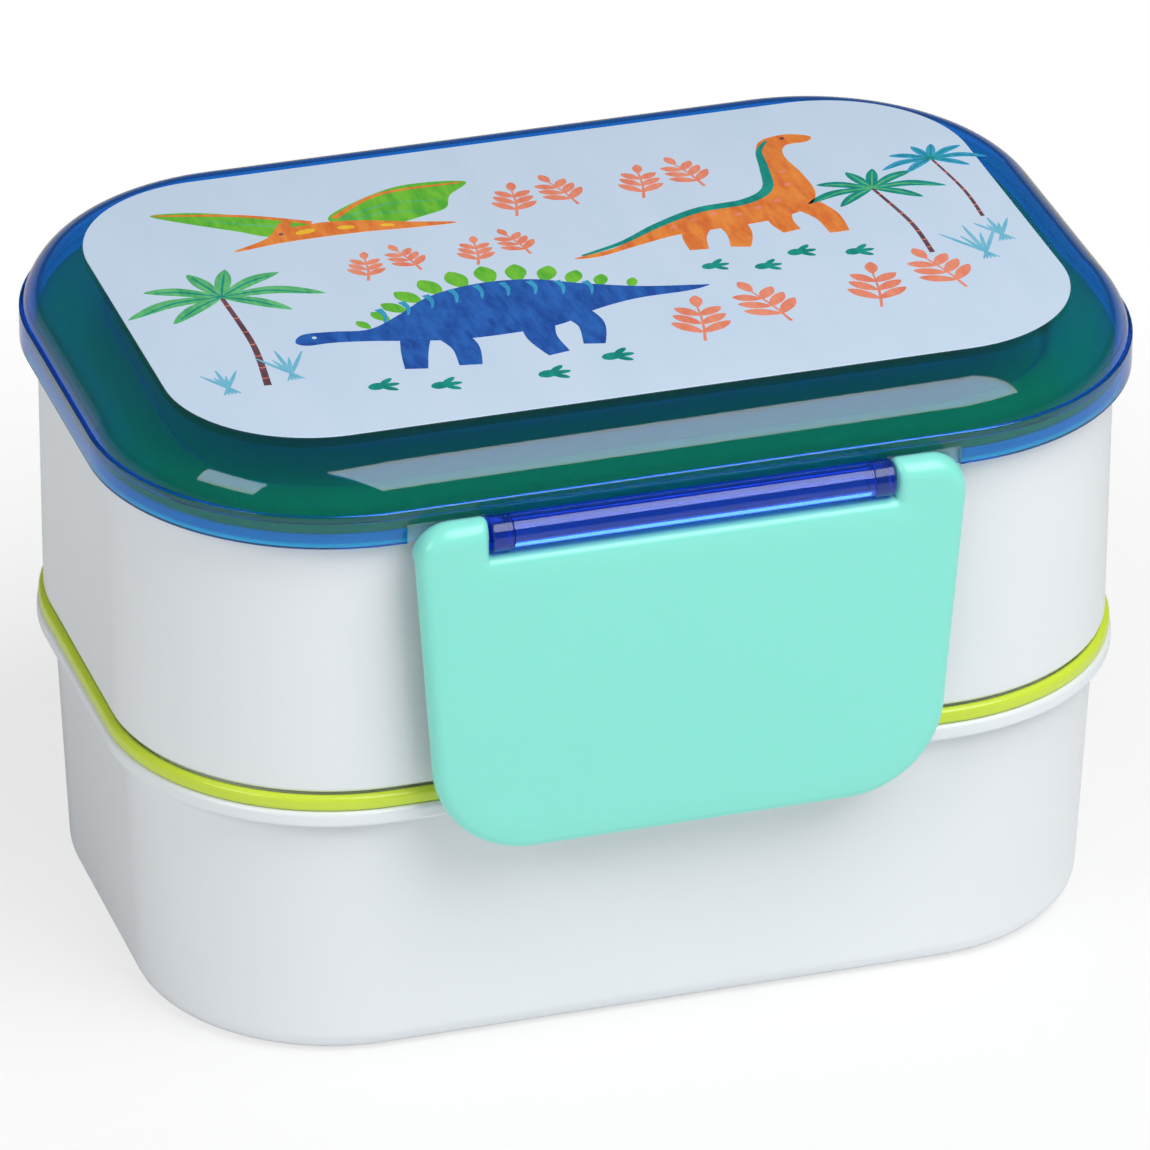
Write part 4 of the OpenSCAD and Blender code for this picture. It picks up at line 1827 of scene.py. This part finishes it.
@dataclass
class Studio:
    """A plain pale studio: white floor, soft boxes, and the camera.

    Attributes:
        target: Point the camera looks at, in millimetres.
        bearing: Angle of the view from straight along +Y, towards +X, in degrees.
        descent: Angle of the view below level, in degrees.
        roll: Turn of the camera about its own axis, in degrees.
        distance: Distance from the camera to the target, in millimetres.
        lens: Focal length on a 36 mm sensor.
        ambient: Strength of the surround as it lights matt surfaces.
        mirrored: Its strength as seen in reflections.
        through: Its strength as seen through clear plastic.
        floor_half: Half the floor's width, in millimetres.
    """

    target: tuple[float, float, float] = (0.35, 0.0, 54.9)
    bearing: float = 17.72
    descent: float = 28.31
    roll: float = 0.367
    distance: float = 1758.0
    lens: float = 322.8
    ambient: float = 0.25
    mirrored: float = 0.06
    through: float = 0.8
    floor_half: float = 6000.0

    def camera(self) -> None:
        """Places the camera."""
        turn, drop, roll = (math.radians(angle) for angle in (self.bearing, self.descent, self.roll))
        ahead = Vector((math.sin(turn) * math.cos(drop), math.cos(turn) * math.cos(drop), -math.sin(drop)))
        right = ahead.cross(Vector((0, 0, 1))).normalized()
        upward = right.cross(ahead)
        right, upward = (right * math.cos(roll) + upward * math.sin(roll),
                         upward * math.cos(roll) - right * math.sin(roll))
        data = bpy.data.cameras.new("camera")
        data.lens = self.lens
        data.sensor_width = 36
        data.clip_start = 0.05
        data.clip_end = 20
        camera = bpy.data.objects.new("camera", data)
        bpy.context.scene.collection.objects.link(camera)
        place = Vector(self.target) * MM - ahead * self.distance * MM
        facing = Matrix((right, upward, -ahead)).transposed().to_4x4()
        camera.matrix_world = Matrix.Translation(place) @ facing
        bpy.context.scene.camera = camera

    def soft_box(self, name: str, place: Point3, aim: Point3, size: Point, power: float) -> None:
        """Adds a rectangular soft box.

        Args:
            name: Name of the lamp.
            place: Where it hangs, in metres.
            aim: Where it points, in metres.
            size: Its width and depth, in metres.
            power: Its power in watts.
        """
        data = bpy.data.lights.new(name, "AREA")
        data.shape = "RECTANGLE"
        data.size, data.size_y = size
        data.energy = power
        lamp = bpy.data.objects.new(name, data)
        bpy.context.scene.collection.objects.link(lamp)
        lamp.location = place
        lamp.rotation_euler = (Vector(aim) - Vector(place)).to_track_quat("-Z", "Y").to_euler()

    def lamps(self) -> None:
        """Hangs the soft boxes."""
        self.soft_box("key_box", (0.26, -0.48, 0.83), (0.0, 0.0, 0.1), (0.66, 0.72), 7.4)
        self.soft_box("corner_box", (-0.79, -0.36, 0.6), (0.0, 0.0, 0.1), (0.46, 0.34), 2.3)

    def world(self) -> None:
        """Sets a pale surround: white where the camera looks past the box, softer as light."""
        world = bpy.data.worlds.new("surround")
        world.use_nodes = True
        tree = world.node_tree
        tree.nodes.clear()
        output = tree.nodes.new("ShaderNodeOutputWorld")
        path = tree.nodes.new("ShaderNodeLightPath")
        strength: bpy.types.NodeSocket | float = self.ambient
        for ray, level in (("Is Glossy Ray", self.mirrored), ("Is Transmission Ray", self.through),
                           ("Is Camera Ray", 1.0)):
            pick = tree.nodes.new("ShaderNodeMix")
            tree.links.new(path.outputs[ray], pick.inputs["Factor"])
            if isinstance(strength, float):
                pick.inputs["A"].default_value = strength
            else:
                tree.links.new(strength, pick.inputs["A"])
            pick.inputs["B"].default_value = level
            strength = pick.outputs["Result"]
        background = tree.nodes.new("ShaderNodeBackground")
        background.inputs["Color"].default_value = (1, 1, 1, 1)
        tree.links.new(strength, background.inputs["Strength"])
        tree.links.new(background.outputs[0], output.inputs["Surface"])
        bpy.context.scene.world = world

    def floor(self) -> None:
        """Lays the pale floor, which keeps the box's soft shadow."""
        nodes = Nodes("floor_paper")
        places = nodes.places()
        grain = nodes.stretch(nodes.speckle(places, 60), 0.0, 1.0)
        paper = nodes.add("BsdfPrincipled", Roughness=0.85,
                          Base_Color=nodes.blend(grain, (0.9, 0.9, 0.9), (0.88, 0.88, 0.885)))
        glow = nodes.add("Emission", Color=(1.0, 1.0, 1.0), Strength=1.0)
        path = nodes.add("LightPath")
        away = nodes.add("VectorMath", Vector=places)
        away.operation = "LENGTH"
        whiter = nodes.add("MapRange", Value=away.outputs["Value"], From_Min=0.11, From_Max=0.24, To_Min=0.68,
                           To_Max=1.0)
        share = nodes.add("Math", Value=path.outputs["Is Camera Ray"])
        share.operation = "MULTIPLY"
        nodes.tree.links.new(whiter.outputs["Result"], share.inputs[1])
        both = nodes.tree.nodes.new("ShaderNodeMixShader")
        nodes.tree.links.new(share.outputs[0], both.inputs["Fac"])
        nodes.tree.links.new(paper.outputs[0], both.inputs[1])
        nodes.tree.links.new(glow.outputs[0], both.inputs[2])
        mesh = Mesh()
        half = self.floor_half
        rows = [[(x, y, 0.0) for x in (-half, 0.0, half)] for y in (-half, 0.0, half)]
        mesh.grid(rows, False, False)
        floor = mesh.build("floor")
        floor.data.materials.append(nodes.finish(both))
        floor.location.z = -0.02 * MM

    def build(self) -> None:
        """Sets up the whole studio."""
        self.camera()
        self.lamps()
        self.world()
        self.floor()
        bpy.context.scene.view_settings.view_transform = "Standard"


def corners(bounds: object) -> list[list[float]]:
    return [[float(value) for value in corner] for corner in bounds]


def main() -> None:
    logging.basicConfig(level=logging.INFO, format="%(name)s: %(message)s")
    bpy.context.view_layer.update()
    Studio().build()
    plan = Plan.from_cover(COVER_CORNER)
    pieces: list[bpy.types.Object] = [LowerTier(plan).build(), UpperTier(plan).build()]
    pieces += SealLids(plan).build()
    pieces.append(Divider().build())
    pieces += Cover(plan).build()
    pieces += Label().build()
    pieces += [Clip(side).build() for side in Side]


if __name__ == "__main__":
    main()
